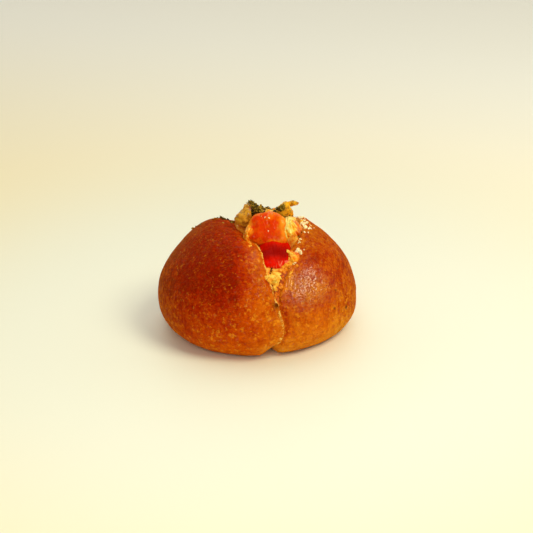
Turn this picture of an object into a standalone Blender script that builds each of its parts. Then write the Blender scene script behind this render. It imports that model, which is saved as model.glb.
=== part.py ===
"""Crab stick salad bun: a round glazed bun, snipped open from the front edge to past its middle.

The cut closes to a crease low on the front and gapes towards the top, where two crab sticks, a baked
mayonnaise salad, two toasted lumps of cheese and dried parsley fill it. Metres, +Z up. The front
with the crease faces -Y, and the origin is under the middle of the bun, on the surface it rests on.

Most places are given round the bun: a distance across it along X, an angle round the X axis in
degrees (-90 straight down, 0 the front, 90 the top, 180 the back) and a rise over the plain dome.
"""

import math
import random

import bmesh
import bpy
import numpy as np
from mathutils import Euler, Matrix, Vector, noise
from mathutils.bvhtree import BVHTree

GAP = 0.0003  # between neighbouring pieces

# The plain dome of the bun.
HALF_WIDTH = 0.0460
HALF_DEPTH = 0.0440
CRUST_HEIGHT = 0.0490
WIDEST_HEIGHT = 0.0150
LOWER_REACH = 0.0210  # how far the underside would bulge below its widest level, were it not flat
UPPER_POWER = 2.05  # 2 is an ellipse, and more is squarer
LOWER_POWER = 2.6
CENTRE = np.array([0.0, 0.0, WIDEST_HEIGHT])

# The cut: angle, where it lies across the bun, and half its gape there.
CUT_COURSE = (
    (-90, 0.0040, 0.0),
    (-40, 0.0050, 0.0),
    (-12, 0.0108, 0.0),
    (4, 0.0122, 0.0),
    (18, 0.0098, 0.0),
    (26, 0.0082, 0.0014),
    (40, 0.0087, 0.0050),
    (52, 0.0085, 0.0062),
    (66, 0.0088, 0.0072),
    (78, 0.0080, 0.0114),
    (92, 0.0050, 0.0140),
    (118, 0.0044, 0.0136),
    (138, 0.0036, 0.0080),
    (150, 0.0034, 0.0),
    (270, 0.0040, 0.0),
)
CROWDING = 1.35  # how strongly the mesh's rings draw together at the cut; 1 spaces them evenly

# The pocket under the cut.
POCKET_FRONT = 22.0  # angles of its two ends
POCKET_BACK = 150.0
POCKET_DEPTH = 0.0180
POCKET_DEEPEST = (10, 80, 100, 162)  # rises to its full depth and back between these angles
POCKET_SHOULDER = 0.0020  # how far below the crust the pocket is widest
POCKET_POWER = 2.6
POCKET_TOP = 0.0140  # how far its cutter stands out of the crust

# Relief of the crust. A lobe is its middle across from the cut, spread and rise. A drop lowers the
# crust towards the cut: how far low on the bun, how far at the top, and spread.
LEFT_LOBE = (-0.0265, 0.0140, 0.0032)
RIGHT_LOBE = (0.0165, 0.0135, 0.0028)
LOBE_SPAN = (10, 75, 115, 165)
LEFT_DROP = (0.0008, 0.0036, 0.0060)
RIGHT_DROP = (0.0030, 0.0006, 0.0070)
DROP_SPAN = (-60, 10, 135, 170)
DROP_TOP_SPAN = (45, 85, 130, 160)
LIP_RISE = 0.0006
LIP_WIDTH = 0.0016
LIP_SPAN = (20, 45, 130, 150)
NOTCH_DEPTH = 0.0050
NOTCH_WIDTH = 0.0028
NOTCH_SPAN = (-100, -45, -40, -10)
WAVE_LENGTH = 0.0240
WAVE_HEIGHT = 0.0007

# The salad's rise over the dome by angle, and its larger lumps: across, angle, spread, height.
SALAD_LEVEL = (
    (22, -0.0008),
    (40, -0.0010),
    (52, -0.0030),
    (66, -0.0060),
    (80, -0.0040),
    (92, 0.0010),
    (103, 0.0038),
    (115, 0.0034),
    (128, 0.0014),
    (150, -0.0010),
)
SALAD_LUMPS = (
    (0.0168, 74, 0.0034, 0.0130),
    (0.0166, 87, 0.0040, 0.0078),
    (0.0000, 75, 0.0024, 0.0050),
    (0.0110, 47, 0.0018, 0.0022),
    (0.0086, 38, 0.0014, 0.0012),
    (-0.0014, 98, 0.0028, 0.0084),
    (0.0100, 101, 0.0040, 0.0020),
    (0.0010, 118, 0.0040, 0.0016),
    (0.0090, 128, 0.0036, 0.0014),
)
RIPPLE_LENGTH = 0.0042
RIPPLE_HEIGHT = 0.0011

# Crab sticks and toasted cheese: across, angle and rise of the middle, half sizes along X, Y and Z
# before turning, turns in degrees about X and Z, and how much narrower the front and upper ends are.
STICK_UPPER = (0.0050, 77, 0.0026, (0.0096, 0.0104, 0.0056), (22, -6), (0.12, 0.0))
STICK_LOWER = (0.0078, 66, -0.0038, (0.0070, 0.0092, 0.0052), (30, 4), (0.0, 0.0))
CHEESE_LEFT = (-0.0056, 92, 0.0042, (0.0040, 0.0040, 0.0060), (-6, 0), (0.0, 0.45))
CHEESE_RIGHT = (0.0126, 99, 0.0046, (0.0044, 0.0040, 0.0046), (0, 20), (0.0, 0.2))
STRAND = (0.0166, 99, 0.0098, (0.0034, 0.0012, 0.0012), (0, 0), (0.0, 0.0))
STICK_POWER = 2.4
CHEESE_POWER = 2.3
DENT_LENGTH = 0.8  # in half sizes
DENT_DEPTH = 0.07

# Bits lying on the bun, each as its size and thickness over width: flakes of parsley and crumbs of
# cheese. A fall is how many, their middle and spread across, middle and spread in angle, and kind.
FLAKE = (0.0013, 0.35)
CRUMB = (0.0010, 0.8)
FALLS = (
    (18, -0.0014, 0.0024, 98, 3, FLAKE),
    (16, 0.0080, 0.0040, 101, 4, FLAKE),
    (12, 0.0044, 0.0050, 120, 8, FLAKE),
    (7, -0.0200, 0.0060, 105, 5, FLAKE),
    (18, 0.0205, 0.0024, 94, 8, CRUMB),
    (9, 0.0185, 0.0016, 62, 7, CRUMB),
)
DROP_HEIGHT = 0.0300  # bits fall from this far above the dome
BIT_SEED = 11


def smooth_table(table, angles, column=1):
    """The table's value in that column at each angle, eased between its rows."""
    rows = np.array(table)
    shifts = (-6, -3, 0, 3, 6)
    return np.mean([np.interp(angles + shift, rows[:, 0], rows[:, column]) for shift in shifts], axis=0)


def window(angles, rise_from, rise_to, fall_from, fall_to):
    """1 between rise_to and fall_from, and 0 outside rise_from and fall_to, with soft ends."""
    up = np.clip((angles - rise_from) / (rise_to - rise_from), 0, 1)
    down = np.clip((fall_to - angles) / (fall_to - fall_from), 0, 1)
    return (up * up * (3 - 2 * up)) * (down * down * (3 - 2 * down))


def bell(distance, spread):
    """A hump of height 1 that falls off over spread."""
    return np.exp(-((distance / spread) ** 2))


def noise_at(points, wavelength, seed):
    """Smooth noise of about -1 to 1 at each point, in waves of that length."""
    offset = Vector((seed * 7.3, seed * 3.1, seed * 5.7))
    return np.array([noise.noise(Vector(p) / wavelength + offset) for p in points])


def angle_of(directions):
    """Degrees round the X axis, from -90 straight down through the front, top and back to 270."""
    degrees = np.degrees(np.arctan2(directions[:, 2], -directions[:, 1]))
    return (degrees + 90) % 360 - 90


def direction_at(across, angle):
    """The unit direction that meets the dome at that distance across the bun and angle round X."""
    side = np.clip(np.asarray(across) / HALF_WIDTH, -1, 1)
    ring = np.sqrt(1 - side**2)
    turn = np.radians(angle)
    return np.stack([side, -np.cos(turn) * ring, np.sin(turn) * ring], axis=-1)


def dome(directions):
    """Points of the plain dome: an ellipsoid with slightly squarer shoulders and a fuller underside."""
    upper = directions[:, 2] > 0
    power = np.where(upper, UPPER_POWER, LOWER_POWER)
    level = np.hypot(directions[:, 0], directions[:, 1])
    fit = (level**power + np.abs(directions[:, 2]) ** power) ** (-1 / power)
    height = np.where(upper, CRUST_HEIGHT - WIDEST_HEIGHT, LOWER_REACH)
    reach = np.stack([np.full_like(fit, HALF_WIDTH), np.full_like(fit, HALF_DEPTH), height], axis=1)
    return CENTRE + directions * reach * fit[:, None]


def place(across, angle, rise):
    """Points at that distance across the bun, angle round X and rise over the plain dome."""
    across, angle, rise = np.broadcast_arrays(*np.atleast_1d(across, angle, rise))
    foot = dome(direction_at(across, angle))
    outward = (foot - CENTRE) * (0, 1, 1)
    outward /= np.maximum(np.linalg.norm(outward, axis=1), 1e-9)[:, None]
    return foot + outward * rise[:, None]


def crust_relief(points, angles):
    """How far the crust stands out from the plain dome at these points, in metres."""
    from_cut = points[:, 0] - smooth_table(CUT_COURSE, angles)
    beyond = np.maximum(np.abs(from_cut) - smooth_table(CUT_COURSE, angles, 2), 0)
    relief = WAVE_HEIGHT * noise_at(points, WAVE_LENGTH, 1)
    for middle, spread, rise in (LEFT_LOBE, RIGHT_LOBE):
        relief += rise * bell(from_cut - middle, spread) * window(angles, *LOBE_SPAN)
    for (low, top, spread), side in ((LEFT_DROP, from_cut < 0), (RIGHT_DROP, from_cut >= 0)):
        drop = low + (top - low) * window(angles, *DROP_TOP_SPAN)
        relief -= side * drop * bell(beyond, spread) * window(angles, *DROP_SPAN)
    relief += LIP_RISE * bell(beyond - LIP_WIDTH, LIP_WIDTH) * window(angles, *LIP_SPAN)
    return relief - NOTCH_DEPTH * bell(from_cut, NOTCH_WIDTH) * window(angles, *NOTCH_SPAN)


def crust(directions):
    """Points of the crust's surface in these directions from the bun's centre."""
    points = dome(directions)
    outward = points - CENTRE
    outward /= np.linalg.norm(outward, axis=1)[:, None]
    return points + outward * crust_relief(points, angle_of(directions))[:, None]


def along_cut(directions):
    """Slides the rings of a sphere sideways, so that the middle one lies along the cut and its
    neighbours crowd towards it."""
    angles = angle_of(directions)
    polar = np.arccos(np.clip(-directions[:, 0], -1, 1))
    middle = np.arccos(-smooth_table(CUT_COURSE, angles) / HALF_WIDTH)
    left = polar < math.pi / 2
    from_pole = np.where(left, polar, math.pi - polar) / (math.pi / 2)
    crowded = 1 - (1 - from_pole) ** CROWDING
    bent = np.where(left, middle * crowded, math.pi - (math.pi - middle) * crowded)
    return direction_at(-np.cos(bent) * HALF_WIDTH, angles)


def in_pocket(directions, shrink, level):
    """Points of a closed shape that fills the pocket under the cut, smaller by shrink, from those of
    a unit sphere with its poles at the ends of the cut. Level gives its upper side's rise."""
    share = np.arccos(np.clip(-directions[:, 1], -1, 1)) / math.pi
    ends = np.sqrt(np.clip(np.sin(share * math.pi), 0, 1))
    end_margin = math.degrees(2 * shrink / HALF_DEPTH)  # doubled, because the ends are narrow
    angles = POCKET_FRONT + end_margin + (POCKET_BACK - POCKET_FRONT - 2 * end_margin) * share
    ring = np.maximum(np.hypot(directions[:, 0], directions[:, 2]), 1e-9)
    side, up = directions[:, 0] / ring, directions[:, 2] / ring
    side = np.sign(side) * np.abs(side) ** (2 / POCKET_POWER)
    up = np.sign(up) * np.abs(up) ** (2 / POCKET_POWER)
    half_width = (np.maximum(smooth_table(CUT_COURSE, angles, 2), 3 * GAP) - shrink) * ends
    across = smooth_table(CUT_COURSE, angles) + side * half_width
    depth = POCKET_DEPTH * window(angles, *POCKET_DEEPEST) - shrink
    lower = -POCKET_SHOULDER + up * (depth - POCKET_SHOULDER) * ends
    upper = -POCKET_SHOULDER + up * (level(across, angles) + POCKET_SHOULDER)
    return place(across, angles, np.where(up < 0, lower, upper))


def open_level(across, angles):
    """The pocket cutter's upper side, well clear of the crust."""
    return np.full_like(angles, POCKET_TOP)


def salad_level(across, angles):
    """The rise of the salad's upper surface over the dome."""
    level = smooth_table(SALAD_LEVEL, angles)
    for lump_across, lump_angle, spread, height in SALAD_LUMPS:
        arc = np.radians(angles - lump_angle) * HALF_DEPTH
        level = level + height * bell(np.hypot(across - lump_across, arc), spread)
    return level + RIPPLE_HEIGHT * noise_at(place(across, angles, 0.0), RIPPLE_LENGTH, 2)


def ball(name, segments, rings, pole):
    """An object with a unit sphere, its poles on the named axis."""
    turns = {"X": Matrix.Rotation(math.pi / 2, 4, "Y"), "Y": Matrix.Rotation(math.pi / 2, 4, "X")}
    mesh = bpy.data.meshes.new(name)
    shape = bmesh.new()
    bmesh.ops.create_uvsphere(shape, u_segments=segments, v_segments=rings, radius=1.0, matrix=turns[pole])
    shape.to_mesh(mesh)
    shape.free()
    return bpy.data.objects.new(name, mesh)


def points_of(item):
    """The mesh's points as an array."""
    flat = np.empty(len(item.data.vertices) * 3)
    item.data.vertices.foreach_get("co", flat)
    return flat.reshape(-1, 3)


def set_points(item, points):
    """Moves the mesh's points to those of the array."""
    item.data.vertices.foreach_set("co", points.ravel())
    item.data.update()
    return item


def block(name, spec, grow, segments, rings, power, seed):
    """A rounded block with soft dents, set on the dome and grown by that much all round."""
    across, angle, rise, half, (tilt, turn), (front_taper, upper_taper) = spec
    half = np.array(half)
    item = ball(name, segments, rings, "Y")
    directions = points_of(item)
    fit = (np.abs(directions) ** power).sum(axis=1) ** (-1 / power)
    dents = 1 + DENT_DEPTH * noise_at(directions, DENT_LENGTH, seed)
    shape = directions * (fit * dents)[:, None] * half
    shape[:, 0] *= 1 + front_taper * shape[:, 1] / half[1]
    shape[:, :2] *= 1 - upper_taper * shape[:, 2:] / half[2]
    outward = directions / half
    outward /= np.linalg.norm(outward, axis=1)[:, None]
    spin = np.array(Euler((math.radians(tilt), 0, math.radians(turn))).to_matrix())
    return set_points(item, (shape + outward * grow) @ spin.T + place(across, angle, rise)[0])


def bit(name, size, thinness, middle, draw):
    """A small uneven bit: an icosphere with random stretch and turn."""
    mesh = bpy.data.meshes.new(name)
    shape = bmesh.new()
    bmesh.ops.create_icosphere(shape, subdivisions=1, radius=size * draw.uniform(0.7, 1.3))
    stretch = Matrix.Diagonal((draw.uniform(0.7, 1.4), draw.uniform(0.7, 1.4), thinness, 1.0))
    turn = Euler([draw.uniform(0, math.tau) for _ in range(3)]).to_matrix().to_4x4()
    shape.transform(Matrix.Translation(middle) @ turn @ stretch)
    shape.to_mesh(mesh)
    shape.free()
    return bpy.data.objects.new(name, mesh)


def material(name, colour, roughness):
    """A plain Principled material."""
    made = bpy.data.materials.new(name)
    made.use_nodes = True
    shader = made.node_tree.nodes["Principled BSDF"]
    shader.inputs["Base Color"].default_value = (*colour, 1.0)
    shader.inputs["Roughness"].default_value = roughness
    shader.inputs["Metallic"].default_value = 0.0
    return made


def show(item, collection, look):
    """Puts the object in its collection, with its material and smooth shading."""
    collection.objects.link(item)
    item.data.materials.append(look)
    item.data.shade_smooth()
    item.data.set_sharp_from_angle(angle=math.radians(50))
    return item


def set_aside(item, helpers):
    """Makes the object a helper that only cuts or joins."""
    helpers.objects.link(item)
    item.hide_render = True
    item.display_type = "WIRE"
    return item


def combine(item, operation, other, solver="EXACT"):
    """Applies one Boolean to the object, with another object or a whole collection."""
    step = item.modifiers.new(operation.lower(), "BOOLEAN")
    step.operation = operation
    step.solver = solver
    if isinstance(other, bpy.types.Collection):
        step.operand_type = "COLLECTION"
        step.collection = other
    else:
        step.object = other
    bpy.context.view_layer.update()
    graph = bpy.context.evaluated_depsgraph_get()
    result = bpy.data.meshes.new_from_object(item.evaluated_get(graph))
    item.modifiers.clear()
    item.data = result


def flatten_underside(item):
    """Cuts the mesh off level at the origin, and closes it there with one flat face."""
    shape = bmesh.new()
    shape.from_mesh(item.data)
    everything = shape.verts[:] + shape.edges[:] + shape.faces[:]
    bmesh.ops.bisect_plane(shape, geom=everything, plane_co=(0, 0, 0), plane_no=(0, 0, -1), clear_outer=True)
    rim = [edge for edge in shape.edges if edge.is_boundary]
    bmesh.ops.contextual_create(shape, geom=rim)
    shape.to_mesh(item.data)
    shape.free()


def sprinkle(hosts, helpers):
    """Drops the bits on the bun's top and fuses each to the piece that it lands on, if there it lies
    clear of every other piece."""
    draw = random.Random(BIT_SEED)
    graph = bpy.context.evaluated_depsgraph_get()
    trees = {host: BVHTree.FromObject(host, graph) for host in hosts}
    landed = {host: bpy.data.collections.new(f"bits_{host.name}") for host in hosts}
    for count, across, spread, angle, fan, (size, thinness) in FALLS:
        for _ in range(count):
            spot = (draw.gauss(across, spread), draw.gauss(angle, fan))
            start = Vector(place(*spot, DROP_HEIGHT)[0])
            inward = (Vector(place(*spot, 0.0)[0]) - start).normalized()
            hits = [(tree.ray_cast(start, inward), host) for host, tree in trees.items()]
            hits = [(hit[3], hit[0], host) for hit, host in hits if hit[0]]
            if not hits:
                continue
            _, point, host = min(hits, key=lambda hit: hit[0])
            room = min(tree.find_nearest(point)[3] for other, tree in trees.items() if other != host)
            if room > 2 * size:
                landed[host].objects.link(bit(f"bit_{host.name}", size, thinness, point, draw))
    for host, bits in landed.items():
        helpers.children.link(bits)
        if bits.objects:
            combine(host, "UNION", bits, "MANIFOLD")


def stand_on_origin(items):
    """Moves everything so that the whole stands with the middle of its base on the origin."""
    points = np.concatenate([points_of(item) for item in items])
    low, high = points.min(axis=0), points.max(axis=0)
    shift = -(low + high) / 2
    shift[2] = -low[2]
    for item in items:
        item.data.transform(Matrix.Translation(shift))


def main():
    for item in list(bpy.data.objects):
        bpy.data.objects.remove(item, do_unlink=True)
    model = bpy.data.collections.new("crab_stick_salad_bun")
    helpers = bpy.data.collections.new("helpers")
    moulds = bpy.data.collections.new("moulds")
    bpy.context.scene.collection.children.link(model)
    bpy.context.scene.collection.children.link(helpers)
    helpers.children.link(moulds)

    # Each piece gives way to those before it. A mould is the piece with the gap round it.
    blocks = {
        "crab_stick_upper": (STICK_UPPER, 24, 14, STICK_POWER, 3),
        "crab_stick_lower": (STICK_LOWER, 20, 12, STICK_POWER, 4),
        "cheese_left": (CHEESE_LEFT, 18, 10, CHEESE_POWER, 5),
        "cheese_right": (CHEESE_RIGHT, 18, 10, CHEESE_POWER, 6),
    }
    looks = {
        "crab_stick_upper": material("crab_stick_orange", (0.80, 0.16, 0.02), 0.3),
        "crab_stick_lower": material("crab_stick_red", (0.62, 0.03, 0.01), 0.3),
        "cheese_left": material("toasted_cheese_left", (0.70, 0.40, 0.09), 0.4),
        "cheese_right": material("toasted_cheese_right", (0.78, 0.47, 0.08), 0.4),
    }
    pieces = []
    for name, (spec, *rest) in blocks.items():
        piece = show(block(name, spec, 0.0, *rest), model, looks[name])
        if name == "cheese_right":
            strand = set_aside(block("strand", STRAND, 0.0, 10, 8, CHEESE_POWER, 7), helpers)
            combine(piece, "UNION", strand)
        if pieces:
            combine(piece, "DIFFERENCE", moulds)
        set_aside(block(f"mould_{name}", spec, GAP, *rest), moulds)
        pieces.append(piece)

    salad = ball("salad", 36, 26, "Y")
    set_points(salad, in_pocket(points_of(salad), GAP, salad_level))
    show(salad, model, material("baked_salad", (0.85, 0.62, 0.22), 0.4))
    combine(salad, "DIFFERENCE", moulds)

    bun = ball("bun", 60, 46, "X")
    set_points(bun, crust(along_cut(points_of(bun))))
    show(bun, model, material("glazed_crust", (0.52, 0.19, 0.04), 0.35))
    flatten_underside(bun)
    pocket = set_aside(ball("pocket", 32, 24, "Y"), moulds)
    set_points(pocket, in_pocket(points_of(pocket), 0.0, open_level))
    combine(bun, "DIFFERENCE", moulds)

    sprinkle([bun, salad, *pieces], helpers)
    for helper in list(helpers.all_objects):
        bpy.data.objects.remove(helper, do_unlink=True)
    stand_on_origin([bun, salad, *pieces])


main()
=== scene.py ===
"""Crab stick salad bun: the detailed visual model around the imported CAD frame.

Places are given as in the CAD source: a distance across the bun along X, an angle round the X axis in
degrees (-90 straight down, 0 the front, 90 the top, 180 the back) and a rise over the plain dome.
All lengths are metres. The bun is one grid: rings run round the X axis, and rows go from the left
pole over the left lobe, down into the pocket, up again and over the right lobe to the right pole.
Waves of noise are listed as height, length and seed, and folds as height, length, seed and stretch.
A span of four angles says where a thing sets in, is full, starts to fade and has gone.
"""

import math
import random

import bmesh
import bpy
import numpy as np
from mathutils import Euler, Matrix, Vector, noise
from mathutils.bvhtree import BVHTree

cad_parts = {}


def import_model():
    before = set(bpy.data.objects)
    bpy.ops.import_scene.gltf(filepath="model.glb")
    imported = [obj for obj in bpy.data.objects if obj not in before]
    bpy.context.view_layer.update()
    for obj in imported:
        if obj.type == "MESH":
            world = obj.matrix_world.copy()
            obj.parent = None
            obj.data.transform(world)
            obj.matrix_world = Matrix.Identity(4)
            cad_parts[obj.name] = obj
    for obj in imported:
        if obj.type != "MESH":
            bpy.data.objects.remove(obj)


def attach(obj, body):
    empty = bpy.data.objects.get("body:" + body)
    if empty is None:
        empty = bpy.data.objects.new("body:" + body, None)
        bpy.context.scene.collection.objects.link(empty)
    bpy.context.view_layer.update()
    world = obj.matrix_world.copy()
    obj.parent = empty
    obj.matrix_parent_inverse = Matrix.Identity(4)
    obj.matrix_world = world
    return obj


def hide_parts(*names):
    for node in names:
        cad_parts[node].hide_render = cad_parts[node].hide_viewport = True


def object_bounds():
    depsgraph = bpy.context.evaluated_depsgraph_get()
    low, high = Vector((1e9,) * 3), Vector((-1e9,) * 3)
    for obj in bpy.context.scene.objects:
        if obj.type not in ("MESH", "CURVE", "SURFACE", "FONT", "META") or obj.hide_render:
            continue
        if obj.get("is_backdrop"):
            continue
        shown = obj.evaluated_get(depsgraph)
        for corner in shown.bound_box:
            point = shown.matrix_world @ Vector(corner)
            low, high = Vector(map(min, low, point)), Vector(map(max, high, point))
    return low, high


# The form of the crust and the pocket, with the CAD source's values.
HALF_WIDTH = 0.046
HALF_DEPTH = 0.044
CRUST_HEIGHT = 0.049
WIDEST_HEIGHT = 0.015
LOWER_REACH = 0.021
UPPER_POWER = 2.05
LOWER_POWER = 2.6
CENTRE = np.array([0.0, 0.0, WIDEST_HEIGHT])
SHIFT = np.array([0.00024, -0.00005, 0.0])  # stands the whole on the middle of its base
EASING = (-6, -3, 0, 3, 6)  # the angles that a table is averaged over
# The cut: angle, middle across and half its gape.
CUT_COURSE = (
    (-90, 0.004, 0.0), (-40, 0.005, 0.0), (-12, 0.0108, 0.0), (4, 0.0122, 0.0), (18, 0.0098, 0.0),
    (26, 0.0082, 0.0014), (40, 0.0087, 0.005), (52, 0.0085, 0.0062), (66, 0.0088, 0.0072),
    (78, 0.008, 0.0114), (92, 0.005, 0.014), (118, 0.0044, 0.0136), (138, 0.0036, 0.008),
    (150, 0.0034, 0.0), (270, 0.004, 0.0),
)
CROWDING = 1.35  # how much closer the rows lie towards the cut
POCKET_FRONT = 22.0
POCKET_BACK = 150.0
POCKET_DEPTH = 0.018
POCKET_DEEPEST = (10, 80, 100, 162)
POCKET_SHOULDER = 0.002  # how far under the dome the salad is widest
POCKET_POWER = 2.6
# Lobes: distance from the cut, spread and rise. Drops towards the cut: low down, on top and spread.
LEFT_LOBE = (-0.0265, 0.014, 0.0032)
RIGHT_LOBE = (0.0165, 0.0135, 0.0028)
LOBE_SPAN = (10, 75, 115, 165)
LEFT_DROP = (0.0008, 0.0036, 0.006)
RIGHT_DROP = (0.003, 0.0006, 0.007)
DROP_SPAN = (-60, 10, 135, 170)
DROP_TOP_SPAN = (45, 85, 130, 160)
LIP_RISE = 0.0006
LIP_WIDTH = 0.0016
LIP_SPAN = (20, 45, 130, 150)
RIGHT_LIP_SPAN = (60, 85, 130, 150)  # not the CAD's: the right lip rolls in smoothly at the front
NOTCH_DEPTH = 0.005
NOTCH_WIDTH = 0.0028
NOTCH_SPAN = (-100, -45, -40, -10)
WAVE_LENGTH = 0.024
WAVE_HEIGHT = 0.0007

# The form of the filling. The CAD source's own values differ a little for the salad, the sticks and
# the cheese, which were set by the photograph once more after the solids.
SALAD_LEVEL = (
    (22, -0.0008), (40, -0.001), (46, -0.0024), (54, -0.007), (66, -0.011), (80, -0.004),
    (92, 0.001), (103, 0.0038), (115, 0.0034), (128, 0.0014), (150, -0.001),
)
# Lumps of the salad: across, angle, spread and height.
SALAD_LUMPS = (
    (0.0168, 74, 0.0034, 0.013), (0.0166, 87, 0.004, 0.0078), (-0.0004, 75, 0.0024, 0.0044),
    (0.011, 47, 0.0018, 0.0022), (0.0086, 38, 0.0014, 0.0012), (-0.0022, 98, 0.0022, 0.006),
    (0.0012, 96, 0.0026, 0.0036), (0.01, 101, 0.004, 0.002), (0.001, 118, 0.004, 0.0016),
    (0.009, 128, 0.0036, 0.0014),
)
RIPPLE_LENGTH = 0.0042
RIPPLE_HEIGHT = 0.0011
# Blocks: across, angle, rise, half sizes, turns about X, Y and Z, and how much they taper upwards.
STICK_UPPER = (0.0055, 80, 0.0018, (0.0095, 0.0074, 0.005), (46, 4, -4), 0.0)
STICK_LOWER = (0.0084, 64, -0.006, (0.0074, 0.01, 0.0052), (15, 0, 4), 0.0)
CHEESE_LEFT = (-0.0038, 91, 0.0063, (0.0027, 0.0032, 0.005), (-6, 28, 0), 0.6)
CHEESE_RIGHT = (0.0132, 98, 0.0056, (0.0044, 0.004, 0.004), (0, 0, 20), 0.2)
STRAND = (0.0172, 99, 0.0096, (0.0026, 0.0012, 0.0012), (0, 0, 0), 0.0)
STICK_POWER = 2.6
STICK_BEND = 0.0018  # how far the ends of a stick droop
CHEESE_POWER = 2.3
MELT_POWER = 2.2
DENT_LENGTH = 0.8
DENT_DEPTH = 0.07

# The bun's grid, its rings' angles as share of the rings and angle, and the pocket's masks.
RING_ANGLES = ((0.0, -90), (0.07, -45), (0.6, 90), (0.94, 225), (1.0, 270))
RINGS = 352
LOBE_ROWS = 122
POCKET_ROWS = 26
MASKS = ("bake_and_painted_light", "crumb", "gloss", "ruddy", "speck", "tan")
POCKET_BAKE = 0.4
POCKET_CRUMB_SPAN = (12, 22, 140, 152)

# What the crust has on top of the CAD model's form.
DEGREE = 0.00075  # about what one degree measures round the bun
FLOOR_ROUNDING = 0.0007  # how softly the crust turns under where the bun stands
LIP_ROUNDING = 0.0006
RIDGE_MEAN = 0.6  # about the mean of ridges_at
SKIN_WAVES = ((0.00018, 0.0075, 21), (0.00006, 0.0032, 22))
WRINKLES = (0.00034, 0.0026, 23, (2.6, 1.0, 1.0))
WRINKLE_BAND = 0.0045
WRINKLE_SPAN = (15, 45, 100, 150)
NET_SPOT = (0.024, 0.026, 0.015)  # across, arc up from the front, and spread
NET_FOLDS = (0.00022, 0.0024, 24, (1.5, 1.0, 0.8))
SHOULDER = (0.02, 99, 0.0062, 0.0018)  # the swelling beside the cheese: across, angle, spread, rise
GAPE_SPAN = (16, 28, 140, 150)
LEAST_GAPE = 0.00016  # keeps the two edges of the closed cut apart
LEAST_LAP = 0.0001
RAGGED_SPAN = (-30, 0, 140, 150)
LEFT_RAG = ((0.00055, 0.0036, 31), (0.0003, 0.0013, 32))
RIGHT_RAG = ((0.0003, 0.0034, 33), (0.00018, 0.0013, 34))
RIGHT_LIP_COVER = 0.75  # how far the right lip rolls over the low end of the cut
RIGHT_LIP_COVER_SPAN = (22, 28, 36, 56)
LAP_RISE = 0.0005  # the left lobe laps over the right below the cut
LAP_SINK = 0.0008
LAP_WIDTH = 0.0018
LAP_SPAN = (-35, -10, 20, 30)
CREASE_DEPTH = 0.0024  # how deep the closed cut goes in below the filling
CREASE_SPAN = (-55, -25, 60, 120)
CRUMB_ROUGHNESS = 0.00035
CRUMB_LENGTHS = (0.0016, 0.0007)

# Darker and paler places of the crust: strength, side, what they are measured from, how far from it,
# their angle, or their span of angles for a band along the cut, and their spread.
BAKE_AND_PAINTED_LIGHT_SPOTS = (
    (0.22, "both", "middle", -0.0215, 47, 0.014),
    (0.18, "right", "middle", 0.018, 56, 0.011),
    # painted highlight: paler under the glossy place on the right lobe, which makes its highlight yellower
    (-0.18, "right", "middle", 0.0215, 34, 0.009),
    (0.17, "left", "middle", -0.026, 90, 0.018),
    (0.14, "past cut", "cut", 0.006, 36, 0.008),
    (0.12, "past cut", "cut", 0.008, 20, 0.006),
)
BAKE_AND_PAINTED_LIGHT_BANDS = (
    (-0.16, "both", "lip", 0.0, (-60, 0, 140, 170), 0.006),
    # partly painted light: a paler band on the left lobe towards the cut, standing in for its soft
    # highlight
    (-0.28, "left", "cut", -0.009, (-10, 20, 100, 130), 0.008),
    (-0.26, "past cut", "lip", 0.0, (22, 32, 55, 65), 0.0034),
    # painted shade: a dark line just right of the closed cut, in its crease
    (0.3, "both", "cut", 0.0014, (-30, -20, 14, 24), 0.0012),
)
BAKE_WAVES = ((0.07, 0.016, 51), (0.05, 0.006, 52))
TORN_WAVES = ((0.9, 0.0022, 55), (0.6, 0.0011, 56))
GLOSS_PATCH = (0.022, 34, 0.0122)  # across, angle and spread of the glossy place
# Dark specks on the crust: across, angle and size. Most are burnt specks; the two largest, at the closed
# cut low on the front, are painted shade in its pits.
SPECKS = (
    (0.0333, 43.4, 0.0008), (0.0344, 10.6, 0.0006), (0.0346, 30.6, 0.0005), (0.0398, 5.0, 0.0008),
    (0.0086, 20.9, 0.0016), (0.0107, 13.4, 0.0014), (0.011, 32.0, 0.0008), (-0.03, 60.0, 0.0006),
    (-0.012, 15.0, 0.0005), (0.02, 130.0, 0.0007), (-0.028, 150.0, 0.0007),
)

# The filling's detail. Fibres are height, length, what is added to the seed, and stretch.
SALAD_GROWTH = 0.0009  # how far the salad runs into the crumb round it
SALAD_LEAST = 0.0009  # half its least width
SALAD_HEART = -0.006  # the rise that its lumps swell out from
SALAD_FULLNESS = 5.0  # how squarely the salad fills the gape
SALAD_CRUMBLE = ((0.00042, 0.0026, 61), (0.00022, 0.0013, 62))
SALAD_WAVES = ((0.00035, 0.003, 63),)
SALAD_TOAST = ((0.5, 0.0042, 64), (0.3, 0.0015, 65))
SWELL = 0.0008  # how far touching pieces of the filling run into each other
SWELL_REACH = 0.0016
FIBRES = ((0.0002, 0.0011, 0, (1.0, 9.0, 1.6)), (0.00007, 0.0005, 1, (1.0, 12.0, 1.6)))
# Melted parts of the salad, each as a block with its least and most tone.
MELTS = (
    ((0.0155, 79, 0.0032, (0.0046, 0.0056, 0.0064), (25, 0, -12), 0.3), (0.0, 1.0)),
    ((-0.0034, 76, -0.0002, (0.0018, 0.005, 0.0052), (40, 0, -10), 0.0), (0.5, 1.0)),
    ((0.0164, 57, -0.0012, (0.002, 0.0036, 0.0016), (30, 0, 20), 0.0), (0.5, 1.0)),
)

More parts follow.
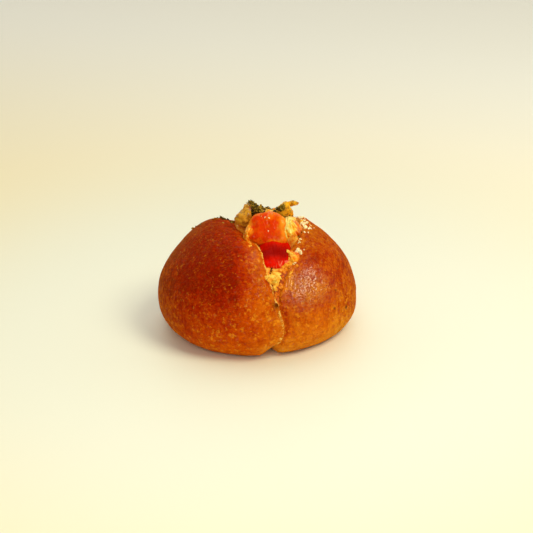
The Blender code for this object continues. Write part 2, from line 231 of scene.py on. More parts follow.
# Falls of salad bits and cheese crumbs: how many, middle and spread across, middle and spread in
# angle, size, flatness, how deep they sink, and the least and most tone.
BIT_FALLS = (
    (20, 0.008, 0.0012, 40, 3.6, 0.0012, 0.8, 0.1, (0.0, 0.45)),
    (4, 0.0062, 0.0005, 46, 3.0, 0.0005, 0.8, -0.2, (1.0, 1.0)),
    (10, 0.0086, 0.001, 34, 3.0, 0.0009, 0.8, 0.1, (0.2, 0.8)),
    (10, -0.003, 0.0006, 70, 4.0, 0.0008, 0.8, 0.4, (0.2, 0.9)),
    (5, 0.0146, 0.0008, 58, 2.0, 0.00095, 0.8, 0.1, (0.0, 0.4)),
    (7, 0.0146, 0.0014, 49, 3.0, 0.00085, 0.6, 0.3, (0.3, 0.75)),
    (5, 0.0152, 0.0008, 44, 2.0, 0.0007, 0.6, 0.3, (0.2, 0.7)),
    (5, 0.0006, 0.0006, 95, 1.0, 0.001, 0.8, -0.4, (0.5, 1.0)),
    (30, 0.006, 0.006, 108, 9.0, 0.0011, 0.8, 0.2, (0.1, 0.8)),
    (22, 0.0045, 0.0036, 130, 8.0, 0.001, 0.8, 0.2, (0.1, 0.8)),
)
CRUMB_FALLS = (
    (20, 0.0192, 0.0014, 101, 2.6, 0.00052, 0.7, -0.2, (0.0, 0.4)),
    (16, 0.0224, 0.0015, 90, 2.2, 0.00052, 0.7, -0.2, (0.0, 0.4)),
    (26, 0.021, 0.0022, 95, 4.0, 0.00036, 0.7, -0.2, (0.0, 0.5)),
    (6, 0.023, 0.002, 82, 4.0, 0.00035, 0.8, -0.1, (0.0, 0.6)),
    (6, 0.0186, 0.0007, 61, 1.6, 0.00085, 0.8, -0.1, (0.0, 0.5)),
    (7, 0.0196, 0.001, 68, 3.0, 0.0004, 0.8, -0.1, (0.0, 0.6)),
    (5, 0.017, 0.0012, 56, 2.0, 0.0006, 0.8, -0.1, (0.2, 0.8)),
    (18, 0.016, 0.005, 112, 7.0, 0.00045, 0.8, -0.1, (0.0, 0.6)),
    (8, 0.004, 0.0044, 80, 4.0, 0.00028, 0.8, 0.3, (0.0, 0.5)),
)
# Falls of parsley: how many, middle and spread across, middle and spread in angle, how high they
# pile, and how far they lean.
LEAF_FALLS = (
    (170, -0.001, 0.0011, 96, 2.0, 0.0003, 0.45), (110, 0.0014, 0.0012, 93, 2.0, 0.0003, 0.45),
    (50, 0.0058, 0.0014, 93, 2.0, 0.0002, 0.45), (130, 0.0096, 0.0013, 90.6, 1.6, 0.0008, 0.45),
    (140, 0.004, 0.005, 116, 8.0, 0.0002, 0.4), (12, -0.012, 0.003, 106, 4.0, 0.0, 0.25),
    (5, -0.0166, 0.0008, 115, 2.0, 0.0, 0.3), (3, -0.0295, 0.0005, 117, 1.2, 0.0, 0.3),
    (5, -0.023, 0.005, 104, 4.0, 0.0, 0.2), (100, 0.0118, 0.001, 92.6, 0.8, 0.0004, 0.5),
    (80, 0.0064, 0.0011, 92.2, 1.0, 0.0003, 0.45), (90, 0.0124, 0.001, 90.4, 0.8, 0.0003, 0.5),
)
LAND_FROM = 0.03  # the rise that small things fall from
LUMP_ROUGHNESS = 0.45
LEAF_SIZE = 0.0011
LEAF_THICKNESS = 0.00005
LEAF_GAP = 0.0001  # how far a leaf stays clear of what it lies on
LEAF_POINTS = 9

# The photograph's camera, and soft lights as name, azimuth (0 in front, 90 on the right), elevation,
# distance, size, power and colour.
CAMERA_ELEVATION = 23.0
CAMERA_DISTANCE = 0.6
CAMERA_ROLL = -1.4
CAMERA_TARGET = (0.0044, 0.0, 0.028)
FRAME_WIDTH = 0.2464  # what the image spans at the target
SENSOR = 36.0
LIGHTS = (
    ("key", 57, 51, 0.9, 0.42, 4.9, (1.0, 0.94, 0.64)),
    ("front", -5, 30, 1.2, 0.8, 4.4, (1.0, 0.94, 0.76)),
    ("overhead", 180, 66, 2.2, 2.0, 12.6, (1.0, 0.95, 0.8)),
)
LIGHT_TARGET = Vector((0.0, 0.0, 0.03))
FLOOR_REACH = 8.0  # half the floor's width
FLOOR_GAP = 0.0001  # the floor lies this far under the bun
ROOM_FRONT = (0.18, 0.14, 0.08)
ROOM_BACK = (0.68, 0.67, 0.58)


# Form ----------------------------------------


def smooth_table(table, angles, column=1):
    """The table's value in that column at each angle, eased between its rows."""
    rows = np.array(table)
    return np.mean([np.interp(angles + shift, rows[:, 0], rows[:, column]) for shift in EASING], axis=0)


def soft_step(value, low, high):
    """0 below low and 1 above high, eased between."""
    share = np.clip((value - low) / (high - low), 0, 1)
    return share * share * (3 - 2 * share)


def window(value, rise_from, rise_to, fall_from, fall_to):
    """1 between rise_to and fall_from, and 0 outside rise_from and fall_to, with soft ends."""
    return soft_step(value, rise_from, rise_to) * soft_step(-value, -fall_to, -fall_from)


def bell(distance, spread):
    """A hump of height 1 that falls off over spread."""
    return np.exp(-((distance / spread) ** 2))


def round_spot(offset, turn, spread):
    """A round hump on the crust, at points that lie offset across and turn degrees round from it."""
    return bell(np.hypot(offset, turn * DEGREE), spread)


def arc_of(angles):
    """How far an angle reaches round the bun, in metres."""
    return np.radians(angles) * HALF_DEPTH


def unit(vectors):
    """The same directions at length 1."""
    return vectors / np.maximum(np.linalg.norm(vectors, axis=1), 1e-9)[:, None]


def noise_offset(seed):
    """How far a seed moves the noise, so that no two patterns are alike."""
    return seed * 7.3, seed * 3.1, seed * 5.7


def noise_at(points, wavelength, seed, stretch=(1.0, 1.0, 1.0)):
    """Smooth noise of about -1 to 1 at each point, in waves of that length, longer by stretch."""
    places = points / (wavelength * np.array(stretch)) + np.array(noise_offset(seed))
    return np.array([noise.noise(place) for place in places])


def waves(points, rows):
    """The sum of several waves of noise."""
    return sum(height * noise_at(points, length, seed) for height, length, seed in rows)


def ridges_at(points, wavelength, seed, stretch=(1.0, 1.0, 1.0)):
    """Noise with narrow crests, from 0 to 1."""
    return 1 - np.abs(np.clip(noise_at(points, wavelength, seed, stretch) * 1.6, -1, 1))


def folds(points, height, length, seed, stretch):
    """Relief with narrow crests, level on average."""
    return height * (ridges_at(points, length, seed, stretch) - RIDGE_MEAN)


def angle_of(directions):
    """Degrees round the X axis, from -90 straight down through the front, top and back to 270."""
    degrees = np.degrees(np.arctan2(directions[:, 2], -directions[:, 1]))
    return (degrees + 90) % 360 - 90


def direction_at(across, angle):
    """The unit direction that meets the dome at that distance across the bun and angle round X."""
    side = np.clip(np.asarray(across) / HALF_WIDTH, -1, 1)
    ring = np.sqrt(1 - side**2)
    turn = np.radians(angle)
    return np.stack([side, -np.cos(turn) * ring, np.sin(turn) * ring], axis=-1)


def dome(directions):
    """Points of the plain dome: an ellipsoid with slightly squarer shoulders and a fuller underside."""
    upper = directions[:, 2] > 0
    power = np.where(upper, UPPER_POWER, LOWER_POWER)
    level = np.hypot(directions[:, 0], directions[:, 1])
    fit = (level**power + np.abs(directions[:, 2]) ** power) ** (-1 / power)
    height = np.where(upper, CRUST_HEIGHT - WIDEST_HEIGHT, LOWER_REACH)
    reach = np.stack([np.full_like(fit, HALF_WIDTH), np.full_like(fit, HALF_DEPTH), height], axis=1)
    return CENTRE + directions * reach * fit[:, None]


def place(across, angle, rise):
    """Points at that distance across the bun, angle round X and rise over the plain dome."""
    across, angle, rise = np.broadcast_arrays(*np.atleast_1d(across, angle, rise))
    foot = dome(direction_at(across, angle))
    return foot + unit((foot - CENTRE) * (0, 1, 1)) * rise[:, None]


def beyond_cut(across, angles):
    """How far a point lies from the middle of the cut, and from the nearer edge of its gape."""
    from_cut = across - smooth_table(CUT_COURSE, angles)
    return from_cut, np.maximum(np.abs(from_cut) - smooth_table(CUT_COURSE, angles, 2), 0)


def crust_relief(points, angles):
    """How far the crust stands out from the plain dome at these points, in metres."""
    from_cut, beyond = beyond_cut(points[:, 0], angles)
    relief = WAVE_HEIGHT * noise_at(points, WAVE_LENGTH, 1)
    for middle, spread, rise in (LEFT_LOBE, RIGHT_LOBE):
        relief += rise * bell(from_cut - middle, spread) * window(angles, *LOBE_SPAN)
    for (low, top, spread), side in ((LEFT_DROP, from_cut < 0), (RIGHT_DROP, from_cut >= 0)):
        drop = low + (top - low) * window(angles, *DROP_TOP_SPAN)
        relief -= side * drop * bell(beyond, spread) * window(angles, *DROP_SPAN)
    lip = np.where(from_cut < 0, window(angles, *LIP_SPAN), window(angles, *RIGHT_LIP_SPAN))
    relief += LIP_RISE * bell(beyond - LIP_WIDTH, LIP_WIDTH) * lip
    return relief - NOTCH_DEPTH * bell(from_cut, NOTCH_WIDTH) * window(angles, *NOTCH_SPAN)


# Bun ----------------------------------------


def skin_relief(points, angles):
    """The crust's finer relief: soft unevenness, wrinkles beside the cut and a net of fine folds."""
    from_cut, beyond = beyond_cut(points[:, 0], angles)
    arc = arc_of(angles)
    along = np.stack([from_cut, arc, np.zeros_like(arc)], axis=1)
    beside = bell(beyond - WRINKLE_BAND, WRINKLE_BAND) * window(angles, *WRINKLE_SPAN) * (from_cut < 0)
    relief = waves(points, SKIN_WAVES) + beside * folds(along, *WRINKLES)
    lap = np.where(from_cut < 0, LAP_RISE, -LAP_SINK) * bell(beyond, LAP_WIDTH)
    relief += lap * window(angles, *LAP_SPAN)
    across, turn, spread, rise = SHOULDER
    relief += rise * bell(np.hypot(points[:, 0] - across, arc - arc_of(turn)), spread)
    across, reach, spread = NET_SPOT
    net = bell(np.hypot(points[:, 0] - across, arc - reach), spread)
    return relief + net * folds(points, *NET_FOLDS)


def pocket_ends(angles):
    """How wide the pocket is of its gape, 0 at its two ends and 1 halfway."""
    share = np.clip((angles - POCKET_FRONT) / (POCKET_BACK - POCKET_FRONT), 0, 1)
    return np.sqrt(np.sin(share * math.pi))


def along_cut(angles):
    """Points on a straight line as long as the cut, for noise that changes only along it."""
    arc = arc_of(angles)
    return np.stack([arc, np.zeros_like(arc), np.zeros_like(arc)], axis=1)


def cut_edges(angles):
    """Where the crust ends left and right of the cut, ragged where it was snipped open."""
    middle = smooth_table(CUT_COURSE, angles)
    half = np.maximum(smooth_table(CUT_COURSE, angles, 2) * pocket_ends(angles), LEAST_GAPE)
    ragged = window(angles, *RAGGED_SPAN)
    left = waves(along_cut(angles), LEFT_RAG)
    right = np.maximum(waves(along_cut(angles), RIGHT_RAG), left + LEAST_LAP)
    covered = half * RIGHT_LIP_COVER * window(angles, *RIGHT_LIP_COVER_SPAN)
    return middle - half + left * ragged, middle + half - covered + right * ragged


def lobe_points(edge, angles, side):
    """One lobe's places from its pole to the cut's edge, a row of across and angle after another."""
    share = np.linspace(0, 1, LOBE_ROWS)[1:]
    crowded = 1 - (1 - share) ** CROWDING
    polar = np.arccos(np.clip(side * edge / HALF_WIDTH, -1, 1))
    across = side * np.cos(crowded[:, None] * polar[None, :]) * HALF_WIDTH
    return across, np.broadcast_to(angles, across.shape)


def crust_points(across, angles):
    """Points of the finished crust at these places."""
    points = dome(direction_at(across.ravel(), angles.ravel()))
    turns = angle_of(direction_at(across.ravel(), angles.ravel()))
    relief = crust_relief(points, turns) + skin_relief(points, turns)
    beyond = beyond_cut(points[:, 0], turns)[1]
    relief -= LIP_ROUNDING * bell(beyond, LIP_ROUNDING) * window(turns, *GAPE_SPAN)
    return (points + unit(points - CENTRE) * relief[:, None]).reshape(*across.shape, 3)


def pocket_points(left, right, angles):
    """Rows of points that lead from the left edge of the cut down round the pocket to the right."""
    turn = np.linspace(0, math.pi, POCKET_ROWS + 2)[1:-1, None]
    side = np.sign(np.cos(turn)) * np.abs(np.cos(turn)) ** (2 / POCKET_POWER)
    sink = np.abs(np.sin(turn)) ** (2 / POCKET_POWER)
    depth = POCKET_DEPTH * window(angles, *POCKET_DEEPEST) * pocket_ends(angles)
    depth = np.maximum(depth, CREASE_DEPTH * window(angles, *CREASE_SPAN))
    inward = unit((CENTRE - left) * (0, 1, 1))
    blend = ((1 - side) / 2)[..., None]
    rows = left[None] * (1 - blend) + right[None] * blend
    rows = rows + inward[None] * (sink * depth)[..., None]
    flat = rows.reshape(-1, 3)
    rough = (CRUMB_ROUGHNESS * sink * np.minimum(1, depth / CREASE_DEPTH)).ravel()
    coarse, fine = CRUMB_LENGTHS
    for axis in range(3):
        flat[:, axis] += rough * (noise_at(flat, coarse, 41 + axis) + 0.5 * noise_at(flat, fine, 46 + axis))
    return flat.reshape(rows.shape)


def settle(points):
    """Moves points into the CAD frame and turns them under softly at the floor."""
    moved = points + SHIFT
    level = moved[..., 2]
    moved[..., 2] = (level + np.sqrt(level**2 + FLOOR_ROUNDING**2)) / 2
    return moved


def bake_and_painted_light_at(points, angles):
    """How dark the crust is coloured, 0 to 1: dark on top and on the left lobe, golden low down. Most of it
    is how the crust baked; the paler foot is partly a painted bounce light, and some spots and bands are
    painted light and shade.
    """
    across, level = points[:, 0], points[:, 2]
    from_cut, beyond = beyond_cut(across, angles)
    height = soft_step(level, 0.001, 0.036)
    left = soft_step(-from_cut, -0.001, 0.009)
    right_side = 0.14 * soft_step(level, 0.026, 0.042) + 0.15 * window(level, 0.003, 0.014, 0.028, 0.04)
    # paler low down: partly golden baking, partly a painted bounce light on the foot
    baked_and_painted_light = 0.1 + 0.42 * height + left * (0.2 + 0.17 * height) + (1 - left) * right_side
    baked_and_painted_light += 0.1 * soft_step(across, 0.026, 0.042)
    baked_and_painted_light += 0.24 * bell(np.hypot(across + 0.038, level - 0.012), 0.012)
    sides = {"both": 1, "left": left, "right": 1 - left, "past cut": from_cut > 0}
    starts = {"middle": across, "cut": from_cut, "lip": beyond}
    for strength, side, start, offset, angle, spread in BAKE_AND_PAINTED_LIGHT_SPOTS:
        baked_and_painted_light += strength * sides[side] * round_spot(starts[start] - offset, angles - angle, spread)
    for strength, side, start, offset, span, spread in BAKE_AND_PAINTED_LIGHT_BANDS:
        baked_and_painted_light += strength * sides[side] * bell(starts[start] - offset, spread) * window(angles, *span)
    return baked_and_painted_light + waves(points, BAKE_WAVES)


def ruddy_at(points, angles):
    """How much redder the crust is: on the left lobe, and less towards its far side, which leaves room
    there for the painted sheen.
    """
    left = soft_step(-beyond_cut(points[:, 0], angles)[0], 0.001, 0.018)
    return left * (1 - 0.7 * soft_step(-points[:, 0], 0.028, 0.042))


def painted_sheen_at(points, angles):
    """How much the crust is turned tan by painted sheen: at its sides and the top of the right lobe, where
    grazing light shines, and as painted highlight colour in the glossy place.
    """
    from_cut, _ = beyond_cut(points[:, 0], angles)
    top = soft_step(from_cut, -0.001, 0.006) * soft_step(points[:, 2], 0.038, 0.047)
    sides = soft_step(-points[:, 0], 0.03, 0.044) + 0.6 * soft_step(points[:, 0], 0.028, 0.042)
    return sides + top + gloss_at(points, angles)


def gloss_at(points, angles):
    """How thick the egg wash lies, 0 to 1: glossy high on the right lobe, and thin elsewhere."""
    from_cut, beyond = beyond_cut(points[:, 0], angles)
    across, angle, spread = GLOSS_PATCH
    from_patch = np.hypot((points[:, 0] - across) * 1.25, (angles - angle) * DEGREE)
    patch = bell((from_patch / spread) ** 1.5, 1.0) * (1 - soft_step(points[:, 2], 0.034, 0.044))
    lip = bell(beyond - 0.0032, 0.0026) * window(angles, 26, 38, 56, 72) * (from_cut < 0)
    return 0.012 + 0.012 * soft_step(points[:, 2], 0.015, 0.04) + 0.95 * patch + 0.14 * lip


def speck_at(points):
    """How much of a dark speck shows at a crust point; most specks are burnt, two are painted shade in pits
    of the closed cut.
    """
    near = []
    for across, angle, size in SPECKS:
        distance = np.linalg.norm(points - place(across, angle, 0.0)[0], axis=1)
        near.append(bell(distance, size))
    return np.clip(1.3 * np.max(near, axis=0), 0, 1)


def crumb_at(angles, beyond, left):
    """How much of the cut's pale crumb shows at a crust point."""
    torn = 0.7 + waves(along_cut(angles), TORN_WAVES)
    open_edge = window(angles, 16, 26, 140, 150) * bell(beyond, 0.0006) * torn
    seam = 0.8 * window(angles, -34, -20, 18, 26) * bell(beyond, 0.0014) * torn
    smear = 0.6 * window(angles, 24, 34, 52, 62) * bell(beyond, 0.0022) * torn
    right = 0.5 * open_edge * window(angles, 60, 80, 140, 150) + smear
    return np.clip(np.where(left, open_edge + seam, right), 0, 1)


def lobe_masks(places, points, edge, is_left):
    """One lobe's masks, in the order of MASKS."""
    across, turns = (part.ravel() for part in places)
    beyond = np.abs(across - np.broadcast_to(edge, places[0].shape).ravel())
    flat = points.reshape(-1, 3)
    crumb = crumb_at(turns, beyond, is_left)
    colours = (ruddy_at(flat, turns), speck_at(flat), painted_sheen_at(flat, turns))
    return (bake_and_painted_light_at(flat, turns), crumb, gloss_at(flat, turns), *colours)


def closed_grid(name, first, rows, last):
    """A mesh of closed rings between two poles."""
    count, width = rows.shape[:2]
    vertices = np.concatenate([first[None], rows.reshape(-1, 3), last[None]])
    ring = np.arange(width)
    after = (ring + 1) % width
    faces = [(0, 1 + j, 1 + k) for j, k in zip(ring, after)]
    for row in range(count - 1):
        near, far = 1 + row * width, 1 + (row + 1) * width
        faces += [(near + j, far + j, far + k, near + k) for j, k in zip(ring, after)]
    end = 1 + (count - 1) * width
    faces += [(end + k, end + j, len(vertices) - 1) for j, k in zip(ring, after)]
    return mesh_object(name, vertices, faces)


def new_object(name, data):
    """An object in the scene that holds this data."""
    made = bpy.data.objects.new(name, data)
    bpy.context.scene.collection.objects.link(made)
    return made


def mesh_object(name, vertices, faces):
    """An object with this mesh, smooth, its faces turned outwards."""
    mesh = bpy.data.meshes.new(name)
    mesh.from_pydata([tuple(vertex) for vertex in vertices], [], [tuple(map(int, face)) for face in faces])
    shape = bmesh.new()
    shape.from_mesh(mesh)
    if shape.calc_volume(signed=True) < 0:
        bmesh.ops.reverse_faces(shape, faces=shape.faces)
    shape.to_mesh(mesh)
    shape.free()
    mesh.shade_smooth()
    return new_object(name, mesh)


def set_mask(item, name, values):
    """Stores one number a vertex, for the material."""
    layer = item.data.attributes.new(name, "FLOAT", "POINT")
    layer.data.foreach_set("value", np.clip(values, 0, 1).astype(np.float32))


def make_bun():
    """The bun: crust, ragged cut and pocket as one closed grid."""
    rows = np.array(RING_ANGLES)
    angles = np.interp(np.linspace(0, 1, RINGS, endpoint=False), rows[:, 0], rows[:, 1])
    left_edge, right_edge = cut_edges(angles)
    left_places = lobe_points(left_edge, angles, -1)
    right_places = [part[::-1] for part in lobe_points(right_edge, angles, 1)]
    left = crust_points(*left_places)
    right = crust_points(*right_places)
    pocket = pocket_points(left[-1], right[0], angles)
    poles = settle(place(np.array([-HALF_WIDTH, HALF_WIDTH]), 0.0, 0.0))
    poles[:, 0] = settle(np.array([left[0].mean(axis=0), right[-1].mean(axis=0)]))[:, 0]
    bun = closed_grid("bun_loaf", poles[0], settle(np.concatenate([left, pocket, right])), poles[1])

    inside = np.ones(pocket.shape[:2])
    crumb = (inside * window(angles, *POCKET_CRUMB_SPAN)).ravel()
    nothing = np.zeros(inside.size)
    pocket_masks = ((POCKET_BAKE * inside).ravel(), crumb, nothing, nothing, nothing, nothing)
    left_masks = lobe_masks(left_places, left, left_edge, True)
    right_masks = lobe_masks(right_places, right, right_edge, False)
    for name, *parts in zip(MASKS, left_masks, pocket_masks, right_masks):
        values = np.concatenate(parts)
        set_mask(bun, name, np.concatenate([values[:1], values, values[-1:]]))
    return bun


# Filling ----------------------------------------


def emptied(shape):
    """The points and faces of a bmesh, which is then freed."""
    points = np.array([vertex.co[:] for vertex in shape.verts])
    faces = [[vertex.index for vertex in face.verts] for face in shape.faces]
    shape.free()
    return points, faces


def ball(segments, rings):
    """The points and faces of a unit sphere, its poles on the Y axis."""
    shape = bmesh.new()
    turned = Matrix.Rotation(math.pi / 2, 4, "X")
    bmesh.ops.create_uvsphere(shape, u_segments=segments, v_segments=rings, radius=1.0, matrix=turned)
    return emptied(shape)


def pebble(subdivisions):
    """The points and faces of a small unit icosphere."""
    shape = bmesh.new()
    bmesh.ops.create_icosphere(shape, subdivisions=subdivisions, radius=1.0)
    return emptied(shape)


def turned_by(turns):
    """The rotation by these degrees about X, Y and Z."""
    return np.array(Euler([math.radians(turn) for turn in turns]).to_matrix())


def in_pocket(directions):
    """Points of the salad, which fills the pocket under the cut, from those of a unit sphere with its
    poles at the ends of the cut, with their angles and distances across."""
    share = np.arccos(np.clip(-directions[:, 1], -1, 1)) / math.pi
    ends = np.sqrt(np.clip(np.sin(share * math.pi), 0, 1))
    end_margin = math.degrees(-2 * SALAD_GROWTH / HALF_DEPTH)
    angles = POCKET_FRONT + end_margin + (POCKET_BACK - POCKET_FRONT - 2 * end_margin) * share
    ring = np.maximum(np.hypot(directions[:, 0], directions[:, 2]), 1e-9)
    side, up = directions[:, 0] / ring, directions[:, 2] / ring
    power = np.where(up > 0, SALAD_FULLNESS, POCKET_POWER)
    side = np.sign(side) * np.abs(side) ** (2 / power)
    up = np.sign(up) * np.abs(up) ** (2 / power)
    half_width = (np.maximum(smooth_table(CUT_COURSE, angles, 2), SALAD_LEAST) + SALAD_GROWTH) * ends
    across = smooth_table(CUT_COURSE, angles) + side * half_width
    depth = POCKET_DEPTH * window(angles, *POCKET_DEEPEST) + SALAD_GROWTH
    lower = -POCKET_SHOULDER + up * (depth - POCKET_SHOULDER) * ends
    upper = -POCKET_SHOULDER + up * (salad_level(across, angles) + POCKET_SHOULDER)
    return place(across, angles, np.where(up < 0, lower, upper)), angles, across


def crumble(points, rows):
    """Relief of rounded lumps packed side by side."""
    total = 0.0
    for height, size, seed in rows:
        offset = Vector(noise_offset(seed))
        nearest = [noise.voronoi(Vector(point) / size + offset)[0][0] for point in points]
        total = total + height * (1 - 2.2 * np.array(nearest))
    return total


def salad_level(across, angles):
    """The rise of the salad's upper surface over the dome."""
    level = smooth_table(SALAD_LEVEL, angles)
    for lump_across, lump_angle, spread, height in SALAD_LUMPS:
        level = level + height * bell(np.hypot(across - lump_across, arc_of(angles - lump_angle)), spread)
    return level + RIPPLE_HEIGHT * noise_at(place(across, angles, 0.0), RIPPLE_LENGTH, 2)


def make_salad():
    """The salad that fills the pocket, with crumbled lumps on what shows of it."""
    directions, faces = ball(220, 150)
    points, angles, across = in_pocket(directions)
    lumps = crumble(points, SALAD_CRUMBLE) + waves(points, SALAD_WAVES)
    lumps = lumps * soft_step(directions[:, 2], -0.3, 0.2)
    middle = place(across * 0.3 + smooth_table(CUT_COURSE, angles) * 0.7, angles, SALAD_HEART)
    points = points + unit(points - middle) * lumps[:, None]
    salad = mesh_object("salad_heap", settle(points), faces)
    toast = 0.35 + waves(points, SALAD_TOAST) + 0.7 * bell(angles - 34, 9)
    toast += 0.3 * soft_step(across, 0.009, 0.013) * bell(angles - 42, 14)
    toast += 0.35 * round_spot(across - 0.015, angles - 66, 0.004)
    toast -= 0.5 * round_spot(across - 0.016, angles - 82, 0.0045)
    set_mask(salad, "toast", toast)
    return salad


class Block:
    """A rounded block with soft dents: its points in its own space, its skin's outward directions,
    its faces, and how it is turned and set on the dome."""

    def __init__(self, spec, segments, rings, power, seed):
        """Makes one from a table's row, its grid's size, how square it is and its dents' seed."""
        across, angle, rise, half, turns, upper_taper = spec
        self.half = np.array(half)
        directions, self.faces = ball(segments, rings)
        fit = (np.abs(directions) ** power).sum(axis=1) ** (-1 / power)
        dents = 1 + DENT_DEPTH * noise_at(directions, DENT_LENGTH, seed)
        self.local = directions * (fit * dents)[:, None] * self.half
        self.local[:, :2] *= 1 - upper_taper * self.local[:, 2:] / self.half[2]
        self.outward = unit(directions / self.half)
        self.spin = turned_by(turns)
        self.middle = place(across, angle, rise)[0]

    def placed(self, relief):
        """The points with that relief, in the bun's space."""
        return self.to_bun(self.local + self.outward * relief[:, None])

    def to_bun(self, local):
        """Points of the block's own space in the bun's."""
        return local @ self.spin.T + self.middle


def slanted(local, axis, lean):
    """The points with X shifted by lean times another axis."""
    moved = local.copy()
    moved[:, 0] += lean * moved[:, axis]
    return moved


def swell_towards(block, other):
    """Raises a block's skin where it meets another block, so that the two run into each other."""
    across, angle, rise, half, turns, _ = other
    inside = (block.to_bun(block.local) - place(across, angle, rise)[0]) @ turned_by(turns) / np.array(half)
    reach = (np.abs(inside) ** STICK_POWER).sum(axis=1) ** (1 / STICK_POWER)
    gap = (reach - 1) * min(half)
    block.local = block.local + block.outward * (SWELL * bell(gap, SWELL_REACH))[:, None]


def make_stick(name, spec, other, grid, seed, lean, flesh):
    """A piece of crab stick that runs into another, with fibres from front to back that lean sideways.
    Flesh is 1 for a stick that shows its pale cut end. The masks say where its colour changes, including
    painted shade under the overhang and painted light along the lower rim."""
    block = Block(spec, *grid, STICK_POWER, seed)
    block.local[:, 1] -= STICK_BEND * (block.local[:, 0] / block.half[0]) ** 2
    swell_towards(block, other)
    local = block.local
    relief = 0.0008 * noise_at(local, 0.005, seed + 80)
    for height, length, later, stretch in FIBRES:
        relief += folds(slanted(local, 1, lean), height, length, seed + 70 + later, stretch)
    stick = mesh_object(name, settle(block.placed(relief)), block.faces)
    side, back, up = (local / block.half).T
    uneven = 0.4 * noise_at(local, 0.003, seed + 85)
    cut_end = flesh * soft_step(-back - 0.6 * up + 0.3 * side + uneven, 0.46, 0.8)
    streak = ridges_at(local, 0.0012, seed + 90, (0.8, 2.0, 2.0)) + 0.3 * noise_at(local, 0.0016, seed + 91)
    top = soft_step(back + 0.3 * side + uneven, 0.1, 1.1)
    # the lower rim turns paler orange: partly orange melt, partly painted light that brightens the lower
    # edge
    rim_melt_and_painted_light = soft_step(-back - 0.4 * up + uneven, 0.55, 0.9)
    # painted shade: the lower stick's top face darkened where the upper stick overhangs it
    painted_overhang_shade = bell(back + 0.4 + 0.4 * uneven, 0.55) * soft_step(up + 0.4 * uneven, 0.3, 0.85)
    set_mask(stick, "flesh", cut_end * soft_step(streak, 0.35, 0.85))
    set_mask(stick, "orange", (1 - flesh) * np.maximum(top, rim_melt_and_painted_light))
    set_mask(stick, "cream", (1 - flesh) * soft_step(np.abs(side + 0.1) + uneven, 0.5, 1.1))
    set_mask(stick, "deep_tone_and_painted_shade", flesh * painted_overhang_shade)
    return stick


def make_cheese(name, spec, seed, tip_from, broken, axis=2, edge=0.0):
    """A lump of melted cheese, broken along a few faces, pitted by bubbles and browned at one end of
    an axis, its top as a rule, and by edge along its right side."""
    block = Block(spec, 96, 64, CHEESE_POWER, seed)
    directions = unit(block.local)
    block.local *= (1 + broken * (chipped(directions, random.Random(seed), 9) - 0.95))[:, None]
    local = block.local
    relief = 0.00055 * noise_at(local, 0.0024, seed + 70) + crumble(local, ((0.00026, 0.0016, seed + 71),))
    cheese = mesh_object(name, settle(block.placed(relief)), block.faces)
    tip = 0.75 * soft_step(directions[:, axis], tip_from, tip_from + 0.28)
    tip += edge * soft_step(directions[:, 0], 0.1, 0.8)
    set_mask(cheese, "toast", 0.04 + tip + 0.25 * noise_at(local, 0.0022, seed + 72))
    return cheese


# Small things ----------------------------------------


class Heap:
    """Many small solids gathered into one mesh, each with its own tone from 0 to 1."""

    def __init__(self):
        self.vertices = []
        self.faces = []
        self.tones = []

    def add(self, points, faces, tone):
        """Adds a solid, with one tone or one for each of its points."""
        start = len(self.vertices)
        self.vertices += [tuple(point) for point in points]
        self.faces += [[start + index for index in face] for face in faces]
        self.tones += list(np.broadcast_to(tone, len(points)))

    def finish(self, name):
        """The gathered mesh as an object."""
        made = mesh_object(name, self.vertices, self.faces)
        set_mask(made, "tone", np.array(self.tones))
        return made


class Ground:
    """The finished surfaces that small things land on."""

    def __init__(self, items):
        bpy.context.view_layer.update()
        graph = bpy.context.evaluated_depsgraph_get()
        self.trees = [BVHTree.FromObject(item, graph) for item in items]

    def land(self, across, angle):
        """The highest surface point over that place, and its normal."""
        start = Vector(place(across, angle, LAND_FROM)[0] + SHIFT)
        inward = (Vector(place(across, angle, 0.0)[0] + SHIFT) - start).normalized()
        hits = [tree.ray_cast(start, inward) for tree in self.trees]
        point, normal, _, _ = min((hit for hit in hits if hit[0]), key=lambda hit: hit[3])
        return np.array(point), np.array(normal)

    def drops(self, falls, draw):
        """Where each thing of each fall lands, with the rest of its fall's values."""
        for count, across, spread, angle, fan, *rest in falls:
            for _ in range(count):
                yield *self.land(draw.gauss(across, spread), draw.gauss(angle, fan)), rest


def make_melt():
    """Melted, glossy parts of the salad that stand against the crab sticks."""
    heap = Heap()
    draw = random.Random(5)
    for seed, (spec, (least, most)) in enumerate(MELTS):
        block = Block(spec, 110, 70, MELT_POWER, 40 + seed)
        directions = unit(block.local)
        block.local *= (0.35 + 0.65 * chipped(directions, draw, 12))[:, None]
        local = block.local
        strings = ridges_at(slanted(local, 2, 0.5), 0.0015, 140 + seed, (1.0, 1.0, 3.0))
        relief = waves(local, ((0.0009, 0.0034, 130 + seed), (0.00012, 0.001, 150 + seed)))
        relief += 0.00055 * (strings - 0.5)
        share = 0.78 + 0.5 * noise_at(local, 0.0034, 160 + seed) - 0.6 * strings
        # paler towards the top, partly a painted highlight, and deeper orange-brown low down and to the
        # right
        share += 0.4 * directions[:, 0] - 0.45 * directions[:, 2]
        tones = least + (most - least) * np.clip(share, 0, 1)
        heap.add(settle(block.placed(relief)), block.faces, tones)
    return heap.finish("melted_salad")


def turn_to(normal, spin):
    """A rotation that takes Z to the normal, after a spin about it."""
    upright = Vector(normal).to_track_quat("Z", "Y").to_matrix()
    return np.array(upright @ Matrix.Rotation(spin, 3, "Z"))


def chipped(directions, draw, count, power=9.0):
    """How far each direction reaches in a chunk broken off along random flat faces."""
    total = np.zeros(len(directions))
    for _ in range(count):
        face = np.array([draw.gauss(0, 1) for _ in range(3)])
        face /= np.linalg.norm(face)
        total += (np.maximum(directions @ face, 0) / draw.uniform(0.55, 1.0)) ** power
    return np.clip(np.maximum(total, 1e-6) ** (-1 / power), 0.4, 1.25)


